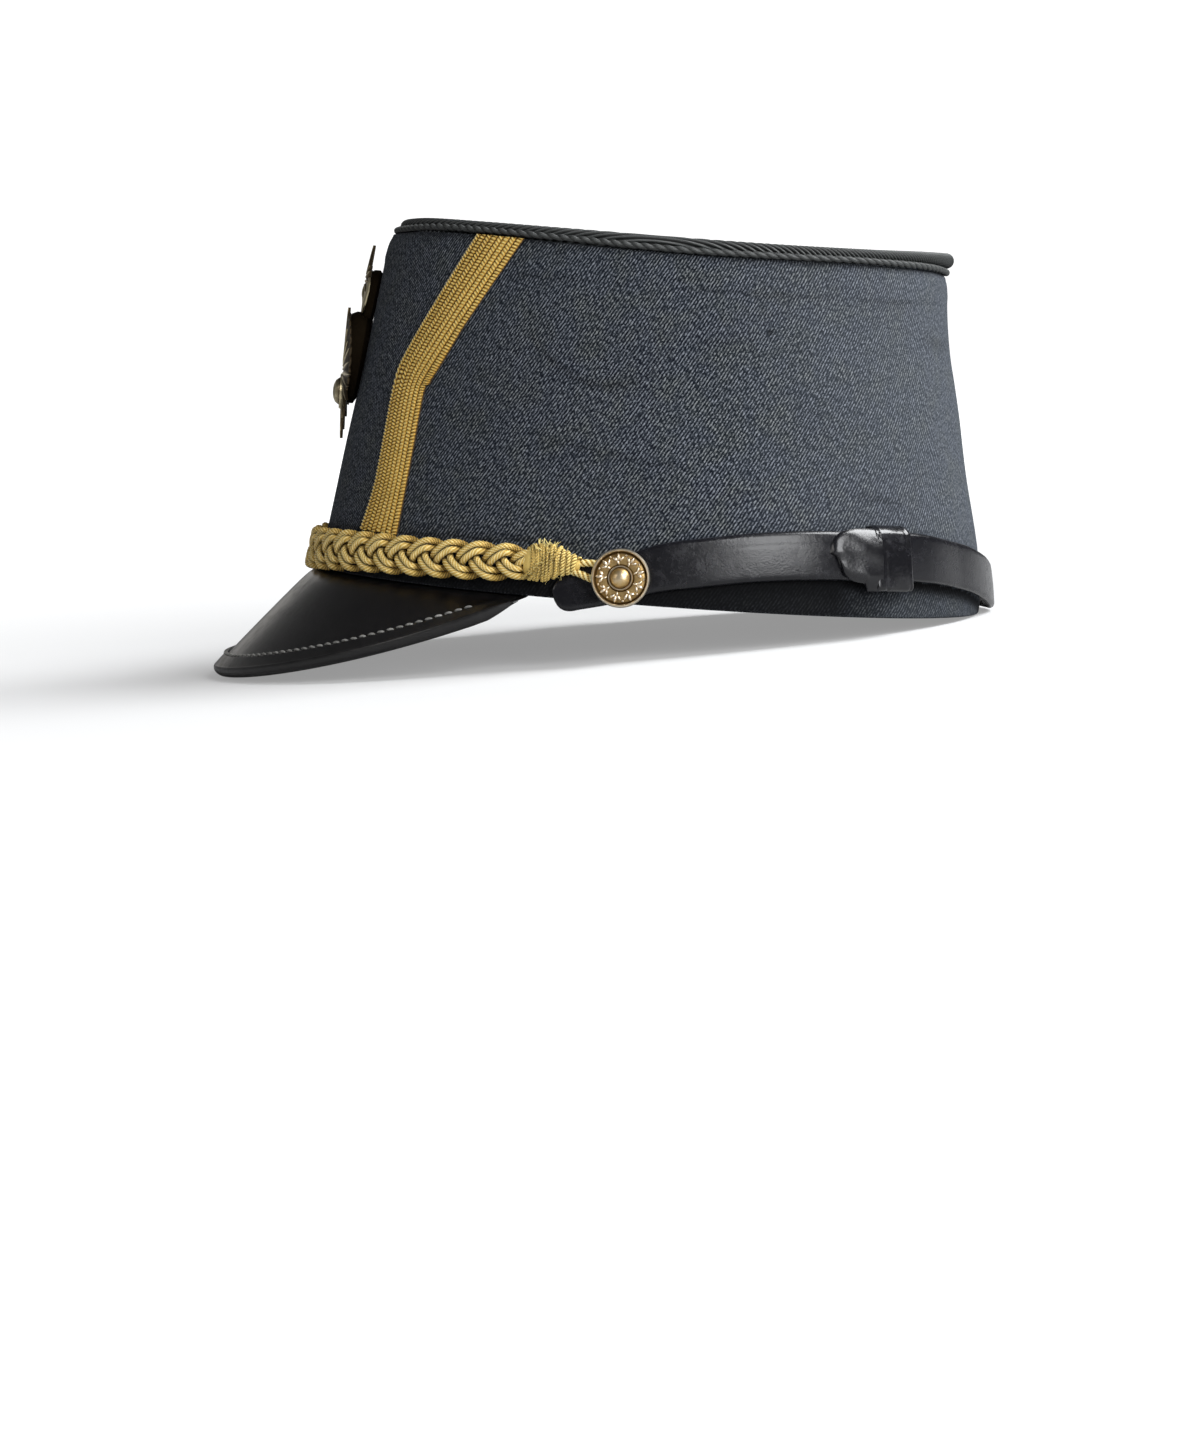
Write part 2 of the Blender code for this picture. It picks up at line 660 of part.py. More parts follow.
def build_lace(name, side):
    """Band from the top edge slanting forward to a mitred bend, then down to the plait."""
    bend = LACE_BEND * CROWN_HEIGHT
    top = edge_height(LACE_TOP_ANGLE) - GAP
    bottom = braid_height(LACE_BEND_ANGLE) + BRAID_HEIGHT / 2 - LACE_TUCK
    turned_by = LACE_TOP_ANGLE - LACE_BEND_ANGLE
    run = turned_by / degrees_for(1.0, LACE_BEND_ANGLE + turned_by / 2, (top + bend) / 2)
    slant = math.atan2(run, top - bend)
    cut = Vector((LACE_WIDTH / 2 / math.cos(slant), 0))
    mitre = Vector((LACE_WIDTH / 2, -LACE_WIDTH / 2 * math.tan(slant / 2)))
    foot = Vector((LACE_WIDTH / 2, 0))
    # Each row: centre angle and height, then half the band's reach along the crown and upwards
    rows = []
    for share in between(0, 1, LACE_UPPER_STEPS + 1):
        rows.append((LACE_TOP_ANGLE - turned_by * share, top + (bend - top) * share,
                     cut.lerp(mitre, share)))
    for share in between(0, 1, LACE_LOWER_STEPS + 1)[1:]:
        rows.append((LACE_BEND_ANGLE, bend + (bottom - bend) * share, mitre.lerp(foot, share)))
    rings = []
    for angle, height, reach in rows:
        outer, inner = [], []
        for across in (-1, -0.5, 0, 0.5, 1):
            level = height + reach.y * across
            swing = angle + degrees_for(reach.x * across, angle, level)
            limit = min(level, edge_height(swing) - GAP)
            inner.append(on_crown(swing * side, limit, GAP))
            outer.append(on_crown(swing * side, limit, GAP + LACE_THICKNESS))
        rings.append(inner + outer[::-1])
    skin(name, rings, gold_lace)


def build_star(name, diameter, level, off, lean, rays, boss, boss_height, boss_drop):
    """Rayed plate with a domed boss, on a post that stands on the cloth."""
    height = level * CROWN_HEIGHT
    middle, along, up, out = crown_frame(0, height, off)
    tilt = Matrix.Rotation(math.radians(lean), 3, along)
    if (tilt @ up).dot(out) < 0:
        tilt = tilt.transposed()
    frame = Matrix((up.cross(out), tilt @ up, tilt @ out)).transposed()

    def outline(radii, level):
        ring = []
        for k in range(4 * rays):
            turn = 2 * math.pi * k / (4 * rays) + math.pi / 2
            radius = diameter / 2 * radii[k % 4]
            ring.append(middle + frame @ Vector((radius * math.cos(turn),
                                                 radius * math.sin(turn), level)))
        return ring

    points = (1.0, STAR_VALLEY, STAR_SHORT_RAY, STAR_VALLEY)
    raised = (0.45, 0.45, 0.45, 0.45)
    plate = skin(name, [outline(points, 0), outline(points, STAR_PLATE),
                        outline(raised, STAR_PLATE + STAR_RELIEF)], badge_metal)
    seat = STAR_PLATE / 2
    centre = middle + frame @ Vector((0, -boss_drop, 0))
    dome = [turned(frame, centre, seat, boss / 2 * math.cos(a),
                   STAR_RELIEF + boss_height * math.sin(a), 16)
            for a in (0, 0.45, 0.9, 1.3)]
    dome.insert(0, turned(frame, centre, seat, boss / 2, 0, 16))
    combine(plate, skin(name + "_boss", dome, badge_metal), "UNION")
    foot, _, _, square = crown_frame(0, height, GAP)
    stem = Matrix((up.cross(square), up, square)).transposed()
    reach = off + STAR_PLATE / 2 - GAP
    post = [turned(stem, foot, 0, BADGE_POST / 2, level, 8) for level in (0, reach)]
    combine(plate, skin(name + "_post", post, badge_metal), "UNION")


def rest_cap():
    """Tip the cap until the peak's edge and the back of the rim stand on one plane."""
    bpy.context.view_layer.update()
    graph = bpy.context.evaluated_depsgraph_get()

    def points():
        for body in cap.objects:
            if body.type in {"MESH", "CURVE"}:
                shape = body.evaluated_get(graph)
                mesh = shape.to_mesh()
                for vertex in mesh.vertices:
                    yield vertex.co.copy()
                shape.to_mesh_clear()

    cloud = list(points())
    heel = on_crown(180, 0)
    tilt = max(math.atan2(-p.z, heel.x - p.x) for p in cloud if p.x < 0)
    turn = Matrix.Rotation(tilt, 3, "Y")
    placed = [turn @ p for p in cloud]
    low = Vector(min(p[i] for p in placed) for i in range(3))
    high = Vector(max(p[i] for p in placed) for i in range(3))
    cap_pose.rotation_euler = (0, tilt, 0)
    cap_pose.location = (-(low.x + high.x) / 2, -(low.y + high.y) / 2, -low.z)


for old in list(bpy.data.objects):
    bpy.data.objects.remove(old, do_unlink=True)
for old in list(bpy.data.collections):
    bpy.data.collections.remove(old)

cap = bpy.data.collections.new("dress_cap")
cutters = bpy.data.collections.new("cutters")
bpy.context.scene.collection.children.link(cap)
bpy.context.scene.collection.children.link(cutters)
cap_pose = bpy.data.objects.new("cap_pose", None)
cap.objects.link(cap_pose)

cloth = finish("cloth", (0.060, 0.070, 0.084), 0.92)
cloth_top = finish("cloth_top", (0.060, 0.070, 0.084), 0.92)
cord_cloth = finish("cord_cloth", (0.045, 0.048, 0.047), 0.62)
gold_lace = finish("gold_lace", (0.36, 0.23, 0.055), 0.48, 0.35)
gold_cord = finish("gold_cord", (0.40, 0.29, 0.10), 0.52, 0.25)
leather = finish("leather", (0.008, 0.007, 0.008), 0.34)
leather_edge = finish("leather_edge", (0.008, 0.007, 0.008), 0.30)
strap_leather = finish("strap_leather", (0.018, 0.018, 0.020), 0.38)
keeper_leather = finish("keeper_leather", (0.020, 0.020, 0.023), 0.22)
brass = finish("brass", (0.55, 0.42, 0.24), 0.30, 1.0)
badge_metal = finish("badge_metal", (0.16, 0.11, 0.06), 0.42, 1.0)

build_crown()
build_edge_cords()
build_peak()
build_binding()
build_braid()
build_straps()
build_keeper()
for side, word in ((1, "left"), (-1, "right")):
    build_knot("knot_" + word, side)
    build_button_cord("button_cord_" + word, side)
    build_button("button_" + word, side)
    build_lace("lace_" + word, side)
build_star("badge_lower", STAR_LOWER, STAR_LOWER_LEVEL, STAR_LOWER_OFF, STAR_LOWER_LEAN,
           8, BOSS, BOSS_HEIGHT, STAR_LOWER * BOSS_DROP)
build_star("badge_upper", STAR_UPPER, STAR_UPPER_LEVEL, STAR_UPPER_OFF, 0.0,
           6, BOSS * 0.55, BOSS_HEIGHT * 0.5, 0.0)
rest_cap()
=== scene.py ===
import json
import math
import random

import bmesh
import bpy
import numpy as np
from mathutils import Matrix, Vector


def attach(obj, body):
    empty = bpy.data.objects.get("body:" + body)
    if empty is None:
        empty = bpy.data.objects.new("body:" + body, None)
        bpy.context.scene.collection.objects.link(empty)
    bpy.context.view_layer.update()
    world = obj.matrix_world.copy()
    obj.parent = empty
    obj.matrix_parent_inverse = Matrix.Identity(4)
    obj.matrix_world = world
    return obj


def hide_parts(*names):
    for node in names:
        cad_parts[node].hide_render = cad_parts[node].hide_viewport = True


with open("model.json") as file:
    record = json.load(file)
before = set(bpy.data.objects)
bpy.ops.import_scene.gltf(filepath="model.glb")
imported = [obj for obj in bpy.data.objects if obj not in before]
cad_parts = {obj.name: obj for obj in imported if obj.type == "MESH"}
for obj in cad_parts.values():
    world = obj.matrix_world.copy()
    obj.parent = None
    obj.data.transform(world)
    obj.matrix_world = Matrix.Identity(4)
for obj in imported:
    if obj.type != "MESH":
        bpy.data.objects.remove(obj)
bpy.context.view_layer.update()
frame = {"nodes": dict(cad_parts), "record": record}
print("frame loaded:", ", ".join(sorted(frame["nodes"])))

# Everything below is worked out in millimetres in the cap's own frame: rim in the plane z = 0,
# front towards -X, the wearer's left towards -Y. finishPiece takes it to the frame's metres.
cap = {
    "rimLength": 206.0, "rimWidth": 168.0,
    "topLength": 173.0, "topWidth": 144.0,
    "height": 104.3, "topForward": 1.2, "egg": 0.05,
    "wall": 2.5, "gap": 0.3,
    "lowerCord": 2.1, "lowerCordOut": 0.3,
    "upperCord": 4.4, "cordSeat": 0.7,
    "edgeLift": (  # degrees from the front, lift as a share of the lower cord
        (0, 0.00), (14, 0.25), (30, 0.72), (42, 0.82), (67, 0.42), (90, -0.08),
        (110, -0.02), (130, 0.22), (155, 0.05), (180, -0.60)),
    "rimSag": (  # degrees from the front, lift of the upper cord and the top's rim in millimetres
        (0, -0.9), (12, -0.5), (26, 0.1), (45, 0.1), (70, -0.2), (90, -0.5), (112, -0.5),
        (135, -0.05), (155, 0.45), (180, 0.55)),
}


def unit(vectors):
    return vectors / np.maximum(np.linalg.norm(vectors, axis=-1, keepdims=True), 1e-12)


def smooth(rows, x, column=1):  # cubic through a column of a table, flat at both ends
    keys = [row[0] for row in rows]
    values = [row[column] for row in rows]
    slopes = [0.0] * len(rows)
    for j in range(1, len(rows) - 1):
        slopes[j] = (values[j + 1] - values[j - 1]) / (keys[j + 1] - keys[j - 1])
    x = np.clip(np.asarray(x, float), keys[0], keys[-1])
    i = np.clip(np.searchsorted(keys, x, side="right") - 1, 0, len(rows) - 2)
    keys, values, slopes = np.array(keys, float), np.array(values, float), np.array(slopes)
    span = keys[i + 1] - keys[i]
    t = (x - keys[i]) / span
    return ((1 + 2 * t) * (1 - t) ** 2 * values[i] + t * (1 - t) ** 2 * span * slopes[i]
            + t * t * (3 - 2 * t) * values[i + 1] - t * t * (1 - t) * span * slopes[i + 1])


def onCrown(angle, height, offset=0.0):  # angle in degrees from the front, left side positive
    angle, height, offset = np.broadcast_arrays(
        np.asarray(angle, float), np.asarray(height, float), np.asarray(offset, float))
    share = height / cap["height"]
    turn = np.radians(angle)
    halfLength = (cap["rimLength"] + (cap["topLength"] - cap["rimLength"]) * share) / 2 + offset
    halfWidth = (cap["rimWidth"] + (cap["topWidth"] - cap["rimWidth"]) * share) / 2 + offset
    x = -cap["topForward"] * share - halfLength * np.cos(turn)
    y = -halfWidth * np.sin(turn) * (1 - cap["egg"] * np.cos(turn))
    return np.stack((x, y, height), -1)


def crownFrame(angle, height, offset=0.0):  # point, then along, up and out of the cloth there
    angle, height = np.asarray(angle, float), np.asarray(height, float)
    along = unit(onCrown(angle + 0.5, height) - onCrown(angle - 0.5, height))
    out = unit(np.cross(along, onCrown(angle, height + 1) - onCrown(angle, height - 1)))
    return onCrown(angle, height, offset), along, np.cross(out, along), out


def degreesFor(distance, angle, height):
    return distance / np.linalg.norm(onCrown(angle + 0.5, height) - onCrown(angle - 0.5, height))


def bell(x, width):
    return np.exp(-(x / width) ** 2)


def shareOf(x, whole):  # how far x is through the whole, from 0 to 1
    return np.clip(x / whole, 0, 1)


def fullTurn(count):
    return 2 * np.pi * np.arange(count) / count


def runningSum(steps):
    return np.concatenate(((0.0,), np.cumsum(steps)))


def sampleAt(x, keys, vectors):
    return np.stack([np.interp(x, keys, vectors[:, a]) for a in range(3)], -1)


def edgeHeight(angle):
    fromFront = np.abs((np.asarray(angle, float) + 180) % 360 - 180)
    return cap["height"] + cap["lowerCord"] * smooth(cap["edgeLift"], fromFront)


# How the cap rests: its tilt and place come from the rim's mount in the record
rimMount = next(m for m in frame["record"]["mounts"] if m["name"] == "head_rim")
restTilt = math.atan2(-rimMount["axis"][0], -rimMount["axis"][2])
capPose = Matrix.Rotation(restTilt, 4, "Y")
rimPoint = Vector(onCrown(100, 0, -cap["wall"] / 2)) * 0.001
capPose.translation = Vector(rimMount["pos_m"]) - capPose.to_3x3() @ rimPoint
toFrame = capPose @ Matrix.Scale(0.001, 4)


# Shader helpers

def put(tree, kind, inputs=None, **settings):
    made = tree.nodes.new(kind)
    for key, value in settings.items():
        setattr(made, key, value)
    for key, value in (inputs or {}).items():
        if isinstance(value, bpy.types.NodeSocket):
            tree.links.new(value, made.inputs[key])
        else:
            made.inputs[key].default_value = value
    return made


def calc(tree, operation, first, second=0.0, third=0.0):
    return put(tree, "ShaderNodeMath", {0: first, 1: second, 2: third},
               operation=operation).outputs[0]


def newGroup(name, inputs, outputs):
    group = bpy.data.node_groups.new(name, "ShaderNodeTree")
    for label, kind, value in inputs:
        socket = group.interface.new_socket(label, in_out="INPUT", socket_type=kind)
        if value is not None:
            socket.default_value = value
    for label in outputs:
        group.interface.new_socket(label, in_out="OUTPUT", socket_type="NodeSocketFloat")
    source = group.nodes.new("NodeGroupInput")
    target = group.nodes.new("NodeGroupOutput")
    return group, source.outputs, target.inputs


def useGroup(tree, group, inputs):
    return put(tree, "ShaderNodeGroup", inputs, node_tree=group).outputs


def newMaterial(name, sockets):
    material = bpy.data.materials.new(name)
    material.use_nodes = True
    tree = material.node_tree
    shader = tree.nodes["Principled BSDF"]
    for label, value in sockets.items():
        shader.inputs[label].default_value = value
    return material, tree, shader


def wave(tree, value):  # from 0 to 1 and back for each whole step of the value
    turned = calc(tree, "MULTIPLY", value, 2 * math.pi)
    return calc(tree, "MULTIPLY_ADD", calc(tree, "SINE", turned), 0.5, 0.5)


def sway(tree, value, share, base):  # the base, moved by a share of a value whose middle is 0.5
    return calc(tree, "MULTIPLY_ADD", calc(tree, "SUBTRACT", value, 0.5), share, base)


def noise(tree, vector, scale, **settings):
    return put(tree, "ShaderNodeTexNoise", {"Vector": vector, "Scale": scale, **settings}
               ).outputs["Fac"]


def surfaceOf(tree):  # the UV map, in millimetres
    return put(tree, "ShaderNodeUVMap", uv_map="surface").outputs[0]


def placeOf(tree):  # position in the frame, in millimetres
    here = put(tree, "ShaderNodeTexCoord").outputs["Object"]
    return put(tree, "ShaderNodeVectorMath", {0: here, "Scale": 1000.0},
               operation="SCALE").outputs[0]


# the relief attribute: high on raised parts and low in hollows; on the crown cloth it carries the
# painted shade
def reliefOf(tree):
    return put(tree, "ShaderNodeAttribute", attribute_name="relief").outputs["Fac"]


def ramp(tree, value, stops):
    made = put(tree, "ShaderNodeValToRGB", {0: value})
    elements = made.color_ramp.elements
    while len(elements) < len(stops):
        elements.new(0.5)
    for element, (place, colour) in zip(elements, stops):
        element.position = place
        element.color = (*colour, 1)
    return made.outputs[0]


def mix(tree, factor, first, second, blend="MIX"):
    made = put(tree, "ShaderNodeMix", {0: factor}, data_type="RGBA", blend_type=blend)
    for socket, value in ((6, first), (7, second)):
        if isinstance(value, bpy.types.NodeSocket):
            tree.links.new(value, made.inputs[socket])
        else:
            made.inputs[socket].default_value = (*value, 1)
    return made.outputs[2]


def remap(tree, value, low, high, toLow, toHigh):
    return put(tree, "ShaderNodeMapRange", {"Value": value, "From Min": low, "From Max": high,
                                            "To Min": toLow, "To Max": toHigh}).outputs[0]


def dress(tree, shader, colour, height, depth, rough=None):  # depth of the relief in millimetres
    made = put(tree, "ShaderNodeBump", {"Height": height, "Strength": 1.0,
                                        "Distance": depth * 0.001})
    tree.links.new(made.outputs[0], shader.inputs["Normal"])
    tree.links.new(colour, shader.inputs["Base Color"])
    if rough is not None:
        tree.links.new(rough, shader.inputs["Roughness"])


def addObject(name, data):
    made = bpy.data.objects.new(name, data)
    bpy.context.collection.objects.link(made)
    return made


# Camera and studio

view = {
    "eye": (-23.0, -1555.0, 100.4),  # in the cap's frame
    "roll": 4.1, "aimDown": 5.2,  # degrees
    "lens": 150.1, "sensor": 36.0, "clip": (0.05, 30.0),
}


def placeCamera():
    data = bpy.data.cameras.new("camera")
    data.lens = view["lens"]
    data.sensor_width = view["sensor"]
    data.sensor_fit = "HORIZONTAL"
    data.clip_start, data.clip_end = view["clip"]
    roll, aim = math.radians(view["roll"]), math.radians(view["aimDown"])
    right = Vector((math.cos(roll), 0, math.sin(roll)))
    level = Vector((-math.sin(roll), 0, math.cos(roll)))
    ahead = Vector((0, math.cos(aim), 0)) - level * math.sin(aim)
    top = right.cross(ahead)
    turn = Matrix((right, top, -ahead)).transposed()
    obj = addObject("camera", data)
    obj.matrix_world = (Matrix.Translation(toFrame @ Vector(view["eye"]))
                        @ (capPose.to_3x3() @ turn).to_4x4())
    bpy.context.scene.camera = obj


studio = {
    "floor": (0.44, 0.44, 0.44),
    "flat": 1.2, "reach": 3.2, "round": 1.6, "top": 5.0, "sides": 96,  # the backdrop, in metres
    "aim": (0.01, 0, 0.07),
    "glow": (0.15, 1.3, 0.30, 1.0),  # a white glow: from how far to how far out, and its strengths
    "world": (0.93, 0.95, 1.0), "worldStrength": 0.09,
    # name: direction to the light (degrees to the camera's right, degrees up), distance, width,
    # height, power, colour
    "lights": {
        "windowNear": ((29, 20), 2.2, 1.0, 1.4, 43.0, (0.975, 0.985, 1.0)),
        "windowHigh": ((87, 46), 2.3, 1.5, 1.3, 100.0, (0.97, 0.985, 1.0)),
        "fillLeft": ((-48, 24), 2.4, 0.6, 0.7, 6.0, (1.0, 0.97, 0.94)),
        "ridge": ((-164, 15), 2.3, 0.8, 0.8, 1.3, (1.0, 0.96, 0.9)),
    },
}


def buildStudio():
    # Floor that curves up into a backdrop on all sides
    shape = bmesh.new()
    reach, bend, sides = studio["reach"], studio["round"], studio["sides"]
    profile = [(studio["flat"], 0.0), (reach, 0.0)]
    for swing in np.radians(np.linspace(0, 90, 13)[1:]):
        profile.append((reach + bend * math.sin(swing), bend * (1 - math.cos(swing))))
    profile.append((reach + bend, studio["top"]))
    rings = []
    for radius, level in profile:
        rings.append([shape.verts.new((radius * math.cos(a), radius * math.sin(a), level))
                      for a in np.linspace(0, 2 * math.pi, sides + 1)[:-1]])
    shape.faces.new(rings[0])
    for low, high in zip(rings, rings[1:]):
        for i in range(sides):
            j = (i + 1) % sides
            shape.faces.new((low[i], low[j], high[j], high[i]))
    bmesh.ops.recalc_face_normals(shape, faces=shape.faces)
    mesh = bpy.data.meshes.new("floor")
    shape.to_mesh(mesh)
    shape.free()
    mesh.shade_smooth()
    floor = addObject("floor", mesh)
    material, tree, shader = newMaterial("paleFloor", {
        "Base Color": (*studio["floor"], 1), "Roughness": 0.9, "Specular IOR Level": 0.1,
        "Emission Color": (1, 1, 1, 1)})
    # the glow whitens the backdrop, and lights nothing
    near, far, weak, strong = studio["glow"]
    reach = put(tree, "ShaderNodeVectorMath", {0: put(tree, "ShaderNodeNewGeometry").outputs[0]},
                operation="LENGTH").outputs["Value"]
    glow = remap(tree, reach, near, far, weak, strong)
    seen = put(tree, "ShaderNodeLightPath").outputs["Is Camera Ray"]
    tree.links.new(calc(tree, "MULTIPLY", seen, glow), shader.inputs["Emission Strength"])
    mesh.materials.append(material)

    aim = Vector(studio["aim"])
    for name, (toLight, distance, width, height, power, colour) in studio["lights"].items():
        aside, up = (math.radians(angle) for angle in toLight)
        place = aim + distance * Vector((math.sin(aside) * math.cos(up),
                                         -math.cos(aside) * math.cos(up), math.sin(up)))
        data = bpy.data.lights.new(name, "AREA")
        data.shape = "RECTANGLE"
        data.size, data.size_y = width, height
        data.energy = power
        data.color = colour
        lamp = addObject(name, data)
        lamp.location = place
        lamp.rotation_euler = (aim - place).to_track_quat("-Z", "Y").to_euler()
        lamp.visible_camera = False

    world = bpy.data.worlds.new("studio")
    bpy.context.scene.world = world
    world.use_nodes = True
    background = world.node_tree.nodes["Background"]
    background.inputs["Color"].default_value = (*studio["world"], 1)
    background.inputs["Strength"].default_value = studio["worldStrength"]
    bpy.context.scene.view_settings.view_transform = "Standard"


placeCamera()
buildStudio()
print("camera and studio placed")


# Mesh helpers: a shape gathers grids of points, and becomes one piece at the end

def newShape():
    return {"points": [], "faces": [], "uvs": [], "relief": [], "count": 0}


def addGrid(shape, points, uRow, vColumn, relief=None, wrapRows=False, wrapColumns=True):
    # points is rows x columns x 3; a wrapped direction has one more UV value than points
    points = np.asarray(points, float)
    rows, columns = points.shape[:2]
    index = np.arange(rows * columns).reshape(rows, columns) + shape["count"]
    i = np.arange(rows if wrapRows else rows - 1)[:, None]
    j = np.arange(columns if wrapColumns else columns - 1)[None, :]
    nextRow, nextColumn = (i + 1) % rows, (j + 1) % columns
    corners = ((i, j), (i, nextColumn), (nextRow, nextColumn), (nextRow, j))
    faces = np.stack([index[a, b] for a, b in corners], -1).reshape(-1, 4)
    u, v = np.asarray(uRow, float), np.asarray(vColumn, float)
    steps = ((i, j), (i, j + 1), (i + 1, j + 1), (i + 1, j))
    uv = np.stack([np.stack(np.broadcast_arrays(u[a], v[b]), -1) for a, b in steps], -2)
    shape["points"].append(points.reshape(-1, 3))
    shape["faces"].extend(faces.tolist())
    shape["uvs"].append(uv.reshape(-1, 2))
    shape["relief"].append(np.ones(rows * columns) if relief is None
                           else np.broadcast_to(relief, (rows, columns)).reshape(-1))
    if wrapColumns and not wrapRows:  # flat ends
        for row, turn in ((0, 1), (rows - 1, -1)):
            shape["faces"].append(index[row, ::turn].tolist())
            at = u[row if row == 0 else rows - 1]
            shape["uvs"].append(np.stack((np.full(columns, at), v[:columns][::turn]), -1))
    shape["count"] += rows * columns


def finishPiece(name, shape, material, nodes, sharp=38):
    mesh = bpy.data.meshes.new(name)
    points = np.concatenate(shape["points"])
    mesh.from_pydata(points.tolist(), [], shape["faces"])
    layer = mesh.uv_layers.new(name="surface")
    layer.data.foreach_set("uv", np.concatenate(shape["uvs"]).astype(np.float32).reshape(-1))
    relief = mesh.attributes.new("relief", "FLOAT", "POINT")
    relief.data.foreach_set("value", np.concatenate(shape["relief"]).astype(np.float32))
    work = bmesh.new()
    work.from_mesh(mesh)
    bmesh.ops.recalc_face_normals(work, faces=work.faces)
    work.to_mesh(mesh)
    work.free()
    mesh.transform(toFrame)
    mesh.shade_smooth()
    mesh.set_sharp_from_angle(angle=math.radians(sharp))
    mesh.materials.append(material)
    piece = addObject(name, mesh)
    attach(piece, "root")
    if nodes:
        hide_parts(*nodes)


def distances(path, loop=False):  # running length along a path, one more value for a loop
    steps = np.linalg.norm(np.diff(path, axis=0, append=path[:1] if loop else path[-1:]), axis=1)
    run = runningSum(steps)
    return run if loop else run[:-1]


def tube(path, guide, radius, sides, phase=0.0, lobes=0, depth=0.0, loop=False):
    # Round or lobed section swept along a path; the section turns by phase as it goes
    path = np.asarray(path, float)
    ahead = np.roll(path, -1, 0) - np.roll(path, 1, 0) if loop else np.gradient(path, axis=0)
    ahead = unit(ahead)
    guide = np.broadcast_to(np.asarray(guide, float), path.shape)
    normal = unit(guide - (guide * ahead).sum(-1, keepdims=True) * ahead)
    side = np.cross(ahead, normal)
    turn = fullTurn(sides)
    ridge = np.abs(np.cos(lobes * turn / 2)) if lobes else np.ones(sides)
    phase = np.broadcast_to(np.asarray(phase, float), len(path))
    swing = turn[None, :] + phase[:, None]
    reach = (np.broadcast_to(np.asarray(radius, float), len(path))[:, None]
             * (1 - depth * (1 - ridge))[None, :])
    points = (path[:, None, :]
              + (reach * np.cos(swing))[..., None] * normal[:, None, :]
              + (reach * np.sin(swing))[..., None] * side[:, None, :])
    return points, np.broadcast_to(ridge, (len(path), sides))


def addCord(shape, path, guide, radius, sides, phase=0.0, lobes=0, depth=0.0, loop=False,
            shade=1.0):
    points, ridge = tube(path, guide, radius, sides, phase, lobes, depth, loop)
    around = np.linspace(0, 2 * np.pi * float(np.mean(radius)), sides + 1)
    addGrid(shape, points, distances(np.asarray(path, float), loop), around,
            relief=ridge * np.asarray(shade)[..., None],
            wrapRows=loop)


def makeTwillWeave():
    # Diagonal ribs of short stitches, with flecks of paler and darker fibre
    group, given, wanted = newGroup("twillWeave", (
        ("Surface", "NodeSocketVector", None),
        ("Pitch", "NodeSocketFloat", 1.05),
        ("Lean", "NodeSocketFloat", 0.6),
        ("Wander", "NodeSocketFloat", 0.55)), ("Fleck", "Height"))
    turned = put(group, "ShaderNodeVectorRotate",
                 {"Vector": given["Surface"], "Angle": given["Lean"]}, rotation_type="Z_AXIS")
    scale = calc(group, "DIVIDE", 1.0, given["Pitch"])
    scaled = put(group, "ShaderNodeVectorMath", {0: turned.outputs[0], "Scale": scale},
                 operation="SCALE").outputs[0]
    split = put(group, "ShaderNodeSeparateXYZ", {0: scaled}).outputs
    drift = noise(group, scaled, 0.55, Detail=3.0, Roughness=0.6)
    drift = sway(group, drift, given["Wander"], split["X"])
    rib = wave(group, drift)
    stagger = calc(group, "MULTIPLY", calc(group, "FLOOR", drift), 0.31)
    stray = noise(group, scaled, 0.9)
    stagger = calc(group, "MULTIPLY_ADD", stray, 1.6, stagger)
    stitch = calc(group, "MULTIPLY_ADD", split["Y"], 0.55, stagger)
    stitch = wave(group, stitch)
    fibres = put(group, "ShaderNodeVectorMath", {0: scaled, 1: (1.6, 0.7, 1.0)},
                 operation="MULTIPLY").outputs[0]
    fleck = noise(group, fibres, 1.0, Detail=2.5, Roughness=0.7)
    across = put(group, "ShaderNodeVectorMath", {0: given["Surface"], 1: (0.5, 1.7, 1.0)},
                 operation="MULTIPLY").outputs[0]
    slub = noise(group, across, 1.0, Detail=2.0)
    height = calc(group, "MULTIPLY", rib, calc(group, "MULTIPLY_ADD", stitch, 0.4, 0.6))
    height = calc(group, "MULTIPLY_ADD", slub, 0.7, height)
    group.links.new(fleck, wanted["Fleck"])
    group.links.new(calc(group, "MULTIPLY_ADD", fleck, 0.5, height), wanted["Height"])
    return group


def makeFineThread():
    # Fine threads that wind round a cord or run across a band
    group, given, wanted = newGroup("fineThread", (
        ("Surface", "NodeSocketVector", None),
        ("Pitch", "NodeSocketFloat", 0.3),
        ("Slant", "NodeSocketFloat", 0.6),
        ("Fray", "NodeSocketFloat", 0.5)), ("Thread",))
    split = put(group, "ShaderNodeSeparateXYZ", {0: given["Surface"]}).outputs
    slanted = calc(group, "MULTIPLY_ADD", split["Y"], given["Slant"], split["X"])
    stray = noise(group, given["Surface"], 1.6, Detail=3.0)
    place = calc(group, "DIVIDE", sway(group, stray, given["Fray"], slanted), given["Pitch"])
    group.links.new(wave(group, place), wanted["Thread"])
    return group


